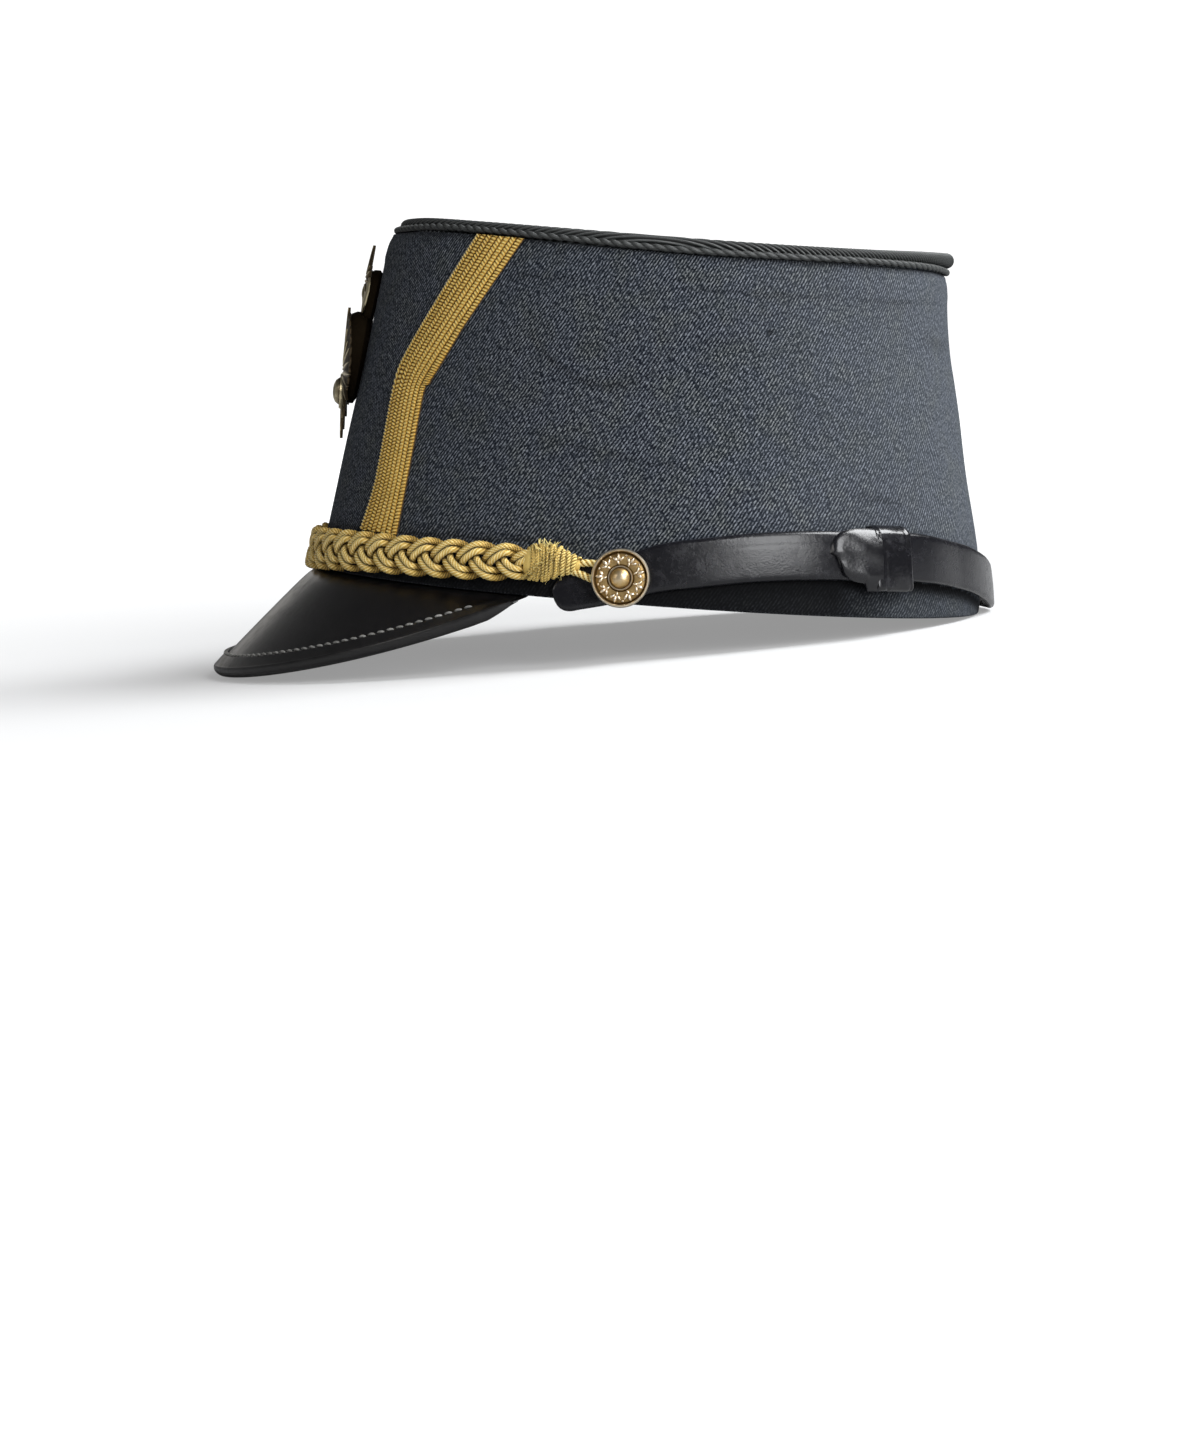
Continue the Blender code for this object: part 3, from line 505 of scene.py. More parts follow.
def makeLeatherGrain():
    group, given, wanted = newGroup("leatherGrain", (
        ("Position", "NodeSocketVector", None),
        ("Size", "NodeSocketFloat", 0.6),
        ("Creasing", "NodeSocketFloat", 0.3)), ("Height", "Scuff"))
    scale = calc(group, "DIVIDE", 1.0, given["Size"])
    pores = put(group, "ShaderNodeTexVoronoi", {"Vector": given["Position"], "Scale": scale},
                feature="F1").outputs["Distance"]
    broad = noise(group, given["Position"], calc(group, "MULTIPLY", scale, 0.12), Detail=5.0,
                  Roughness=0.62, Distortion=0.6)
    creased = calc(group, "MULTIPLY", broad, given["Creasing"])
    scuff = noise(group, given["Position"], calc(group, "MULTIPLY", scale, 0.35), Detail=6.0,
                  Roughness=0.72)
    scuff = calc(group, "MULTIPLY_ADD", broad, 0.5, calc(group, "MULTIPLY", scuff, 0.5))
    scuff = remap(group, scuff, 0.47, 0.62, 0.0, 1.0)
    group.links.new(calc(group, "MULTIPLY_ADD", pores, 0.35, creased), wanted["Height"])
    group.links.new(scuff, wanted["Scuff"])
    return group


def makeAgeing():
    # Broad uneven patches
    group, given, wanted = newGroup("ageing", (
        ("Position", "NodeSocketVector", None),
        ("Size", "NodeSocketFloat", 20.0)), ("Patch",))
    scale = calc(group, "DIVIDE", 1.0, given["Size"])
    patch = noise(group, given["Position"], scale, Detail=4.0, Roughness=0.6)
    group.links.new(patch, wanted["Patch"])
    return group


def makeGapShade():
    # Low where other surfaces stand close by: the mask for painted shade in gaps
    group, given, wanted = newGroup("gapShade", (
        ("Reach", "NodeSocketFloat", 0.0016),
        ("Power", "NodeSocketFloat", 1.5)), ("Open",))
    near = put(group, "ShaderNodeAmbientOcclusion", {"Distance": given["Reach"]}, samples=6,
               only_local=True)
    group.links.new(calc(group, "POWER", near.outputs["AO"], given["Power"]), wanted["Open"])
    return group


twillWeave = makeTwillWeave()
gapShade = makeGapShade()
fineThread = makeFineThread()
leatherGrain = makeLeatherGrain()
ageing = makeAgeing()


wool = {
    "dark": (0.003, 0.0045, 0.0085), "middle": (0.021, 0.026, 0.034),
    "pale": (0.19, 0.205, 0.235),
    "pitch": 0.90, "lean": 0.56, "topLean": 0.9, "weaveDepth": 0.08, "roughness": 0.95,
    "olive": (1.08, 1.05, 0.86), "sheenTone": (0.066, 0.073, 0.083), "shadeTone": (0.0030, 0.0030, 0.0033),
}


def makeWool(name, lean):
    material, tree, shader = newMaterial(name, {
        "Roughness": wool["roughness"], "Specular IOR Level": 0.08, "Sheen Weight": 0.03,
        "Sheen Roughness": 0.5, "Sheen Tint": (0.75, 0.85, 1.0, 1)})
    weave = useGroup(tree, twillWeave, {"Surface": surfaceOf(tree), "Pitch": wool["pitch"],
                                        "Lean": lean})
    tone = calc(tree, "MULTIPLY_ADD", weave["Fleck"], 1.1,
                calc(tree, "MULTIPLY", weave["Height"], 0.42))
    thread = ramp(tree, calc(tree, "SUBTRACT", tone, 0.45),
                  ((0.29, wool["dark"]), (0.53, wool["middle"]), (0.84, wool["pale"])))
    place = placeOf(tree)
    age = useGroup(tree, ageing, {"Position": place, "Size": 9.0})
    agedAndSheen = mix(tree, remap(tree, age["Patch"], 0.42, 0.68, 0.0, 0.7), thread,
               mix(tree, 1.0, thread, wool["olive"], "MULTIPLY"))
    # paler and lower in contrast towards the back: painted sheen
    back = put(tree, "ShaderNodeSeparateXYZ", {0: place}).outputs["X"]
    agedAndSheen = mix(tree, remap(tree, back, 40.0, 95.0, 0.0, 0.35), agedAndSheen, wool["sheenTone"])
    # painted shade: the relief attribute sets how much of the shade tone is mixed in
    withPaintedShade = mix(tree, reliefOf(tree), wool["shadeTone"], agedAndSheen)
    dress(tree, shader, withPaintedShade, weave["Height"], wool["weaveDepth"])
    return material


gold = {
    "deep": (0.050, 0.026, 0.006), "body": (1.0, 0.56, 0.085), "highlight": (1.0, 0.88, 0.34),
}


def makeGold(name, deep, body, highlight, pitch, slant, threadDepth, metallic, roughness, paleEdge=0):
    material, tree, shader = newMaterial(name, {"Metallic": metallic, "Specular IOR Level": 0.4})
    surface = surfaceOf(tree)
    thread = useGroup(tree, fineThread, {"Surface": surface, "Pitch": pitch, "Slant": slant})
    relief = reliefOf(tree)
    # painted shade in the thread's hollows and painted highlight on its raised parts, from the
    # relief
    shade = sway(tree, thread["Thread"], 0.22, relief)
    colour = ramp(tree, shade, ((0.18, deep), (0.58, body), (0.95, highlight)))
    # painted shade where other surfaces stand close
    gaps = useGroup(tree, gapShade, {"Reach": 0.0013, "Power": 0.9})
    colour = mix(tree, gaps["Open"], deep, colour)
    age = useGroup(tree, ageing, {"Position": placeOf(tree), "Size": 7.0})
    dulled = mix(tree, remap(tree, age["Patch"], 0.42, 0.72, 0.0, 0.35), colour,
                 mix(tree, 1.0, colour, (0.60, 0.55, 0.45), "MULTIPLY"))
    if paleEdge:  # thread sewn along the band's front edge
        across = put(tree, "ShaderNodeSeparateXYZ", {0: surface}).outputs["Y"]
        dulled = mix(tree, remap(tree, across, paleEdge, paleEdge * 0.8, 0.0, 0.75), dulled,
                     (0.72, 0.62, 0.42))
    dress(tree, shader, dulled, thread["Thread"], threadDepth,
          remap(tree, relief, 0.0, 1.0, min(1.0, roughness + 0.25), roughness))
    return material


def makeCordCloth():
    material, tree, shader = newMaterial("darkCord", {"Specular IOR Level": 0.5})
    thread = useGroup(tree, fineThread, {"Surface": surfaceOf(tree), "Pitch": 0.32,
                                         "Slant": 0.25})
    relief = reliefOf(tree)
    shade = sway(tree, thread["Thread"], 0.25, relief)
    # painted shade in the grooves, paler on the ridges as painted highlight
    colour = ramp(tree, shade, ((0.25, (0.002, 0.002, 0.002)), (0.8, (0.016, 0.018, 0.0175)),
                                (1.0, (0.050, 0.053, 0.052))))
    dress(tree, shader, colour, thread["Thread"], 0.05, remap(tree, relief, 0.0, 1.0, 0.75, 0.48))
    return material


def makeLeather(name, colour, scuffed, rough, roughScuffed, size, creasing, depth, coat=0.0,
                specular=0.5):
    material, tree, shader = newMaterial(name, {
        "Specular IOR Level": specular, "Coat Roughness": 0.12, "Coat Weight": coat})
    place = placeOf(tree)
    grain = useGroup(tree, leatherGrain, {"Position": place, "Size": size, "Creasing": creasing})
    age = useGroup(tree, ageing, {"Position": place, "Size": 12.0})
    wearAndPaintedLight = calc(tree, "MULTIPLY", grain["Scuff"], remap(tree, age["Patch"], 0.35, 0.65, 0.2, 1.0))
    edge = remap(tree, reliefOf(tree), 1.0, 1.6, 0.0, 0.8)
    wearAndPaintedLight = calc(tree, "MAXIMUM", wearAndPaintedLight, edge)
    dress(tree, shader, mix(tree, wearAndPaintedLight, colour, scuffed), grain["Height"], depth,
          remap(tree, wearAndPaintedLight, 0.0, 1.0, rough, roughScuffed))
    return material


def makeMetal(name, deep, body, highlight, rough):
    material, tree, shader = newMaterial(name, {"Metallic": 1.0})
    age = useGroup(tree, ageing, {"Position": placeOf(tree), "Size": 2.2})
    relief = reliefOf(tree)
    # painted highlight on raised parts and painted shade in grooves, from the relief attribute
    shade = sway(tree, age["Patch"], 0.5, relief)
    dress(tree, shader, ramp(tree, shade, ((0.1, deep), (0.6, body), (1.0, highlight))), age["Patch"],
          0.05, remap(tree, shade, 0.0, 1.0, rough + 0.3, rough))
    return material


woolSide = makeWool("woolSide", wool["lean"])
woolTop = makeWool("woolTop", wool["topLean"])
laceGold = makeGold("laceGold", gold["deep"], gold["body"], gold["highlight"],
                    0.42, 0.9, 0.10, 0.05, 0.30, paleEdge=0.7)
cordGold = makeGold("cordGold", gold["deep"], (0.92, 0.59, 0.13), (1.0, 0.92, 0.50),
                    0.40, 0.5, 0.10, 0.15, 0.26)
bindGold = makeGold("bindGold", (0.12, 0.07, 0.015), (0.84, 0.54, 0.11), (1.0, 0.86, 0.36),
                    0.26, 0.3, 0.05, 0.05, 0.62)
darkCord = makeCordCloth()
peakLeather = makeLeather("peakLeather", (0.0030, 0.0026, 0.0028), (0.0065, 0.0055, 0.0055),
                          0.30, 0.42, 0.9, 0.5, 0.03, 0.1)
edgeLeather = makeLeather("edgeLeather", (0.0035, 0.0032, 0.0033), (0.010, 0.009, 0.0085),
                          0.36, 0.50, 0.6, 0.6, 0.05, 0.1)
strapLeather = makeLeather("strapLeather", (0.0045, 0.0045, 0.0062), (0.0115, 0.0115, 0.0145),
                           0.23, 0.38, 0.5, 1.1, 0.06, specular=0.36)
keeperLeather = makeLeather("keeperLeather", (0.0028, 0.0028, 0.0040), (0.008, 0.008, 0.011),
                            0.24, 0.36, 0.9, 1.4, 0.06, 0.2, specular=0.42)
stitchThread = makeLeather("stitchThread", (0.16, 0.16, 0.15), (0.42, 0.41, 0.39),
                           0.45, 0.6, 0.3, 0.2, 0.02)
brassMetal = makeMetal("brassMetal", (0.10, 0.060, 0.022), (0.52, 0.36, 0.155),
                       (0.80, 0.70, 0.54), 0.30)
badgeMetal = makeMetal("badgeMetal", (0.02, 0.014, 0.008), (0.10, 0.075, 0.045),
                       (0.60, 0.52, 0.34), 0.34)
print("materials made")


# Crown

crownSide = {
    "around": 540, "outer": 128, "inner": 14,
    # broad dents: angle, level, angle spread, level spread, depth
    "dents": ((82, 0.62, 14, 0.10, 0.70), (56, 0.84, 9, 0.09, 0.45),
              (118, 0.45, 18, 0.14, 0.50), (-74, 0.55, 16, 0.12, 0.60),
              (-112, 0.70, 12, 0.10, 0.50), (168, 0.50, 14, 0.16, 0.60)),
    # soft folds: angle, height, half length, half width, slope in degrees, depth
    "folds": ((138, 74.0, 5, 22, 0, 0.35), (150, 50.0, 5, 20, 3, 0.30),
              (-60, 88.0, 15, 3.0, 8, 0.35), (-95, 66.0, 16, 3.4, 20, 0.38),
              (-140, 58.0, 5, 20, 0, 0.35), (24, 60.0, 4, 16, 4, 0.25),
              (-20, 72.0, 4, 18, -6, 0.25)),
    # creases: first and last angle, lowest height, where, bend, slope, half width, depth
    "creases": ((63, 88, 65.2, 78.5, 0.058, 0.0, 1.3, 0.30),
                (66, 96, 45.1, 80, 0.0, -0.216, 1.3, 0.16),
                (55, 74, 94.9, 64, 0.0, 0.01, 0.8, 0.22),
                (91, 127, 94.6, 108, 0.001, 0.0, 0.8, 0.20),
                (128, 148, 94.9, 138, 0.0, 0.03, 0.8, 0.20),
                (126, 139, 36.6, 132, 0.0, -0.18, 1.3, 0.22),
                (92, 108, 80.0, 100, 0.01, 0.1, 1.6, 0.12),
                (-96, -70, 60.0, -84, 0.040, 0.0, 1.5, 0.34),
                (-130, -108, 78.0, -118, 0.0, 0.2, 1.6, 0.2),
                (150, 172, 84.0, 160, 0.01, -0.1, 1.8, 0.2)),
    "seam": (95.6, 0.36, 0.9),  # the turned edge shows through: height, depth, width
    "spot": (109.4, 82.7),  # one small dark spot
    "ripple": 0.10,
    "hollow": 2.5,  # at the back, by level
    "hollowLevels": ((0.0, 0.0), (0.12, -0.20), (0.20, -0.40), (0.40, 0.02), (0.56, 0.28),
                     (0.68, 0.64), (0.76, 0.86), (0.85, 0.80), (1.0, 0.45)),
}


def crownDent(angle, height):
    depth = np.zeros(np.broadcast(angle, height).shape)
    for centre, level, spread, levelSpread, deep in crownSide["dents"]:
        across = ((angle - centre + 180) % 360 - 180) / spread
        upright = (height / cap["height"] - level) / levelSpread
        depth += deep * np.exp(-across ** 2 - upright ** 2)
    return depth


def crownFolds(angle, height):
    lift = np.zeros(np.broadcast(angle, height).shape)
    for centre, level, halfLength, halfWidth, slope, deep in crownSide["folds"]:
        along = ((angle - centre + 180) % 360 - 180) * 1.45
        up = height - level
        turn = math.radians(slope)
        p = (along * math.cos(turn) + up * math.sin(turn)) / halfLength
        q = (-along * math.sin(turn) + up * math.cos(turn)) / halfWidth
        lift += deep * 1.6 * q * np.exp(-q * q - p * p)
    for above, halfWidth, deep in creaseLines(angle, height):
        lift += deep * bell(above, halfWidth)
    turn = np.radians(angle)
    level, deep, width = crownSide["seam"]
    uneven = 0.7 + 0.3 * np.sin(5 * turn + 1) + 0.15 * np.sin(17 * turn)
    above = height - level - 0.5 * np.sin(9 * turn)
    lift += deep * uneven * (1 / (1 + np.exp(-above / width * 2)) - 0.6 * shareOf(above, 9))
    lift += crownSide["ripple"] * (np.sin(7 * turn + height / 13) + np.sin(11 * turn - height / 9)
                                   + 0.6 * np.sin(23 * turn + height / 17))
    return lift


def creaseLines(angle, height):  # how far above each crease, its half width, its depth there
    around = (np.asarray(angle, float) + 180) % 360 - 180
    for first, last, low, where, bend, slope, halfWidth, deep in crownSide["creases"]:
        line = low + bend * (around - where) ** 2 + slope * (around - where)
        share = shareOf(around - first, last - first)
        yield height - line, halfWidth, deep * np.sqrt(4 * share * (1 - share))


def paintedCrownShade(angles, heights):
    # 1 is the cloth's own colour: painted shade under and just above the strap and the plait,
    # beside the cords, along the creases and towards the front, painted light where the strip
    # under the strap shows at the back, and one small dark spot
    fromFront = np.abs((angles + 180) % 360 - 180)
    strapLow = strap["width"] * (smooth(strap["path"], angles % 360) - 0.5)
    strapped = shareOf(fromFront - 78, 8)
    plaitLow = plaitLevel(fromFront) - plait["height"] / 2
    braided = shareOf(78 - fromFront, 5)
    under = heights - strapLow
    # painted light: the strip under the strap is less dark where it shows towards the back
    litUnderStrap = shareOf(angles % 360 - 122, 12) * shareOf(-under - 1.2, 2.2)
    strapShade = np.where(under < 0.8, 0.01 + 0.06 * shareOf(-under, 9) + 0.55 * litUnderStrap, 1)
    # painted shade in a thin band just above the strap
    over = heights - strapLow - strap["width"]
    strapShade = np.where(over > -0.5, 1 - 0.45 * np.exp(-np.clip(over, 0, 99) / 0.9), strapShade)
    # painted shade under the plait, and in a thin band just above it
    plaitShade = np.where(heights < plaitLow + 5, 0.04, 1)
    high = heights - plaitLow - plait["height"]
    plaitShade = np.where(high > -0.5, 1 - 0.6 * np.exp(-np.clip(high, 0, 99) / 1.2), plaitShade)
    # painted shade just beneath the cords
    top = cap["height"] - heights
    cordShade = 1 - 0.55 * np.exp(-np.clip(top, 0, 99) / 0.9)
    # painted shade towards the front and along each crease, then one small dark spot
    frontCreaseShadeAndSpot = 1 - 0.12 * shareOf(62 - fromFront, 30)
    for above, halfWidth, deep in creaseLines(angles, heights):
        frontCreaseShadeAndSpot = frontCreaseShadeAndSpot * (1 - 1.15 * deep * bell(above + halfWidth, halfWidth))
    spotAngle, spotHeight = crownSide["spot"]
    frontCreaseShadeAndSpot = frontCreaseShadeAndSpot * (1 - 0.9 * np.exp(-((angles - spotAngle) * 1.5) ** 2
                                              - (heights - spotHeight) ** 2))
    return ((1 - strapped * (1 - strapShade)) * (1 - braided * (1 - plaitShade)) * cordShade
            * frontCreaseShadeAndSpot)


def crownHollow(fromRear, level):
    return crownSide["hollow"] * bell(fromRear, 42) * smooth(crownSide["hollowLevels"], level)


def buildCrown():
    c = crownSide
    angles = np.arange(c["around"]) * 360 / c["around"]  # even steps all round
    edge = edgeHeight(angles) - cap["gap"]
    levels = np.linspace(0, 1, c["outer"]) ** 0.97
    fromRear = np.abs(angles - 180)
    grid, inside, shades = [], [], []
    for level in levels:
        height = 0.6 + (edge - 1.0) * level
        fade = np.clip(np.minimum(level, 1 - level) * 12, 0, 1)
        offset = -crownDent(angles, height) + crownFolds(angles, height) * fade
        # the back is a little hollow, and cloth draws in over the stiffener's two edges
        offset -= crownHollow(fromRear, level)
        offset -= 0.45 * bell(level * edge, 1.3)
        rolled = 0.35 + 0.35 * bell(180 - fromRear, 40)
        offset -= rolled * bell((1 - level) * edge, 1.2 + rolled)
        grid.append(onCrown(angles, height, offset))
        shades.append(paintedCrownShade(angles, height))
    topLimit = cap["height"] + cap["cordSeat"] - 2 * cap["gap"]
    # the stiffener stands a little above the cloth's fold, behind the lower cord
    below = cap["height"] + cap["cordSeat"] - 0.1 + smooth(cap["rimSag"], 180 - fromRear)
    stands = np.minimum(edge + 0.45, below)
    # the stiffener's top rows get painted shade
    for share in (0.3, 0.7, 1.0):
        top = edge + (stands - edge) * min(1.0, share * 1.5) - cordSink(angles)
        grid.append(onCrown(angles, top, -1.5 - (cap["wall"] - 1.5) * share))
        shades.append(0.3 + 0 * angles)
    for level in np.linspace(0.97, 0.006, c["inner"]):
        height = (np.minimum(stands, topLimit) - cordSink(angles)) * level
        inside.append(onCrown(angles, height, -cap["wall"] - crownDent(angles, height)
                              - crownHollow(fromRear, level)))
    grid += inside
    for share in (0.15, 0.5, 0.85):  # folded hem underneath
        grid.append(onCrown(angles, 0.10 - 0.10 * math.sin(math.pi * share),
                            -cap["wall"] + (cap["wall"] - 0.5) * share))
    # painted shade inside the cap and on the hem
    shades += [0.35 + 0 * angles] * (len(inside) + 3)
    points = np.stack(grid, 1)
    around = distances(onCrown(angles, 50), loop=True)
    upright = distances(points[0])
    upright = np.append(upright, upright[-1] + 0.5)
    shape = newShape()
    addGrid(shape, points, around, upright, relief=np.stack(shades, 1), wrapRows=True)
    finishPiece("crownSide", shape, woolSide, ["crown_wall"], sharp=60)

    dip, cloth = 1.2, 2.0
    upper = cap["height"] + cap["cordSeat"] - cap["gap"]
    rim = onCrown(angles, upper - cloth, -cap["wall"] - cap["gap"])
    rows = []
    sag = smooth(cap["rimSag"], 180 - np.abs(180 - angles))
    for shares, under, ripple in ((np.linspace(0.02, 1, 34), 0, 0.10),
                                  (np.linspace(1, 0.02, 12), cloth, 0)):
        for share in shares:
            level = upper - under - dip * (1 - share ** 2.2) + sag * share ** 6
            level = level + (ripple * np.sin(3 * np.radians(angles) + 6 * share) * share
                             * (1 - share))
            rows.append(np.stack((rim[:, 0] * share, rim[:, 1] * share, level), -1))
    shape = newShape()
    points = np.stack(rows)
    addGrid(shape, points, np.zeros(len(rows)), np.zeros(len(angles) + 1))
    flat = np.concatenate(shape["points"])[:, :2]
    shape["uvs"] = [flat[np.concatenate([np.asarray(face) for face in shape["faces"]])]]
    finishPiece("crownTop", shape, woolTop, ["crown_top"], sharp=50)


# Cords round the top edge

edgeCords = {
    "around": 700,
    "lowerStrands": 2, "lowerLead": 6.6, "lowerSides": 9,
    "upperLobes": 8, "upperSamples": 6, "upperDepth": 0.30,
    "frontInset": 1.9, "frontSink": 0.45, "rearInset": 1.3,
    # the upper cord's lay: angle, slope of its strands in degrees (rising backwards positive)
    "lay": ((-180, -50), (-130, -42), (-95, -14), (-60, 30), (0, 34), (60, 30), (78, 14),
            (88, -4), (104, -30), (120, -44), (150, -50), (180, -50)),
}


def cordSink(angles):  # the lower cord beds into the cloth at the front
    return edgeCords["frontSink"] * bell((angles + 180) % 360 - 180, 30)


def buildEdgeCords():
    c = edgeCords
    angles = -180 + np.arange(c["around"]) * 360 / c["around"]
    lowLevel = edgeHeight(angles) + cap["lowerCord"] / 2 - cordSink(angles)
    level = cap["height"] + cap["cordSeat"] + cap["upperCord"] / 2
    level = level + smooth(cap["rimSag"], np.abs(angles))
    inset = c["frontInset"] * bell(angles, 38) + c["rearInset"] * bell(180 - np.abs(angles), 40)
    lowPath = onCrown(angles, lowLevel, cap["lowerCordOut"] - inset)
    reach = (cap["upperCord"] + cap["lowerCord"]) / 2 + cap["gap"]
    inward = np.sqrt(np.maximum(0, reach ** 2 - (level - lowLevel) ** 2))
    slant = np.linalg.norm((onCrown(angles, lowLevel) - onCrown(angles, level))[:, :2], axis=1)
    inward -= np.minimum(inward, slant * 0.5)
    path = onCrown(angles, level, cap["lowerCordOut"] - inward + 0.15 - 0.9 * inset)
    _, _, _, out = crownFrame(angles, level)
    run = distances(lowPath, loop=True)

    shape = newShape()
    turns = round(run[-1] / c["lowerLead"])
    strandRadius = cap["lowerCord"] * 0.30
    flatOut = unit(out * (1, 1, 0))
    up = np.array((0.0, 0.0, 1.0))
    for k in range(c["lowerStrands"]):
        swing = 2 * np.pi * (turns * run[:-1] / run[-1] + k / c["lowerStrands"])
        swing = swing + 0.35 * np.sin(run[:-1] / 7.0)
        reachOut = cap["lowerCord"] / 2 - strandRadius
        centre = lowPath + reachOut * (np.cos(swing)[:, None] * flatOut
                                       - np.sin(swing)[:, None] * up)
        # painted shade on each strand's inner and lower side
        addCord(shape, centre, out, strandRadius * 1.06, c["lowerSides"], loop=True,
                shade=0.55 + 0.45 * np.clip(np.cos(swing + 0.5), 0, 1))
    finishPiece("edgeCordLower", shape, darkCord, ["edge_cord_lower"])

    shape = newShape()
    run = distances(path, loop=True)
    rate = -np.tan(np.radians(smooth(c["lay"], angles))) / (cap["upperCord"] / 2)
    phase = runningSum(rate * np.diff(run))
    whole = round(phase[-1] / (2 * np.pi)) * 2 * np.pi
    phase += (whole - phase[-1]) * run / run[-1]
    girth = cap["upperCord"] / 2 * (1 + 0.10 * bell(180 - np.abs(angles), 35))
    addCord(shape, path, out, girth, c["upperLobes"] * c["upperSamples"],
            phase[:-1], c["upperLobes"], c["upperDepth"], loop=True)
    finishPiece("edgeCordUpper", shape, darkCord, ["edge_cord_upper"])


buildEdgeCords()
print("edge cords built")


# Peak and its binding

peak = {
    "corner": 68.0, "reach": 30.0, "drop": 32.6, "cornerDrop": 1.3, "cornerOut": 4.4,
    "tuck": 2.0, "swell": 2.0, "sheet": 2.0, "edgePower": 2.2,
    "steps": 200, "across": 26,
    # height and inset of the turned-up edge's corners
    "turnUp": ((1.5, 2.85), (-0.2, 2.85), (-1.6, 4.2), (1.5, 4.2)),
    "bindingDepth": 6.0, "bindingLeather": 0.62, "bindingGap": 0.25, "bindingLimit": 0.55,
    "stitchPitch": 3.2, "stitchLength": 2.65, "stitchInset": 0.80, "stitchRadius": 0.40,
}


def peakEdge(turn):
    corner, front = onCrown(peak["corner"], 0), onCrown(0, 0)
    middle = corner[0] - peak["cornerOut"] / 2
    reach = middle - (front[0] - peak["reach"])
    half = -corner[1] + peak["cornerOut"]
    swing = turn * np.pi / 2
    drop = peak["cornerDrop"] + peak["drop"] * (1 - np.abs(turn) ** peak["edgePower"])
    return np.stack((middle - reach * np.cos(swing), -half * np.sin(swing), -drop), -1)


def peakPoint(turn, share):
    turn, share = np.broadcast_arrays(np.asarray(turn, float), np.asarray(share, float))
    inner = onCrown(turn * peak["corner"], 0, -peak["tuck"])
    inner[..., 2] = -cap["gap"]
    swell = (peak["swell"] * np.clip(1 - share, 0, 1) ** 0.7 * (1 - np.exp(-share / 0.05))
             * (1 - turn * turn))
    lift = np.stack((-swell, 0 * swell, swell), -1)
    return inner + (peakEdge(turn) - inner) * share[..., None] + lift


def peakRulings(turns):  # direction out to the edge, and the sheet's normal
    step = 1 / 16
    outward = unit(peakPoint(turns, 1.0) - peakPoint(turns, 0.75))
    along = peakEdge(np.maximum(turns - step, -1)) - peakEdge(np.minimum(turns + step, 1))
    return outward, unit(np.cross(along, outward))


def sheetThin(turns):  # both ends of the sheet run out thin
    return np.clip((1 - np.abs(turns)) / 0.06, 0.12, 1) ** 0.8


def buildPeak():
    turns = np.linspace(-1, 1, peak["steps"] + 1)
    _, normal = peakRulings(turns)
    shares = np.linspace(0, 1, peak["across"])
    upper = peakPoint(turns[:, None], shares[None, :])
    thin = sheetThin(turns)
    lower = upper[:, ::-1] - (normal * thin[:, None])[:, None, :] * peak["sheet"]
    # its inner edge turns up inside the crown, where it is sewn in
    angles = turns * peak["corner"]
    turned = [onCrown(angles, level if level > 0 else level * thin, -inset)[:, None]
              for level, inset in peak["turnUp"]]
    points = np.concatenate(turned[:2] + [upper, lower] + turned[2:], 1)
    across = 2.0 * np.arange(points.shape[1] + 1)
    shape = newShape()
    addGrid(shape, points, distances(peakEdge(turns)), across)
    finishPiece("peakSheet", shape, peakLeather, ["peak"])


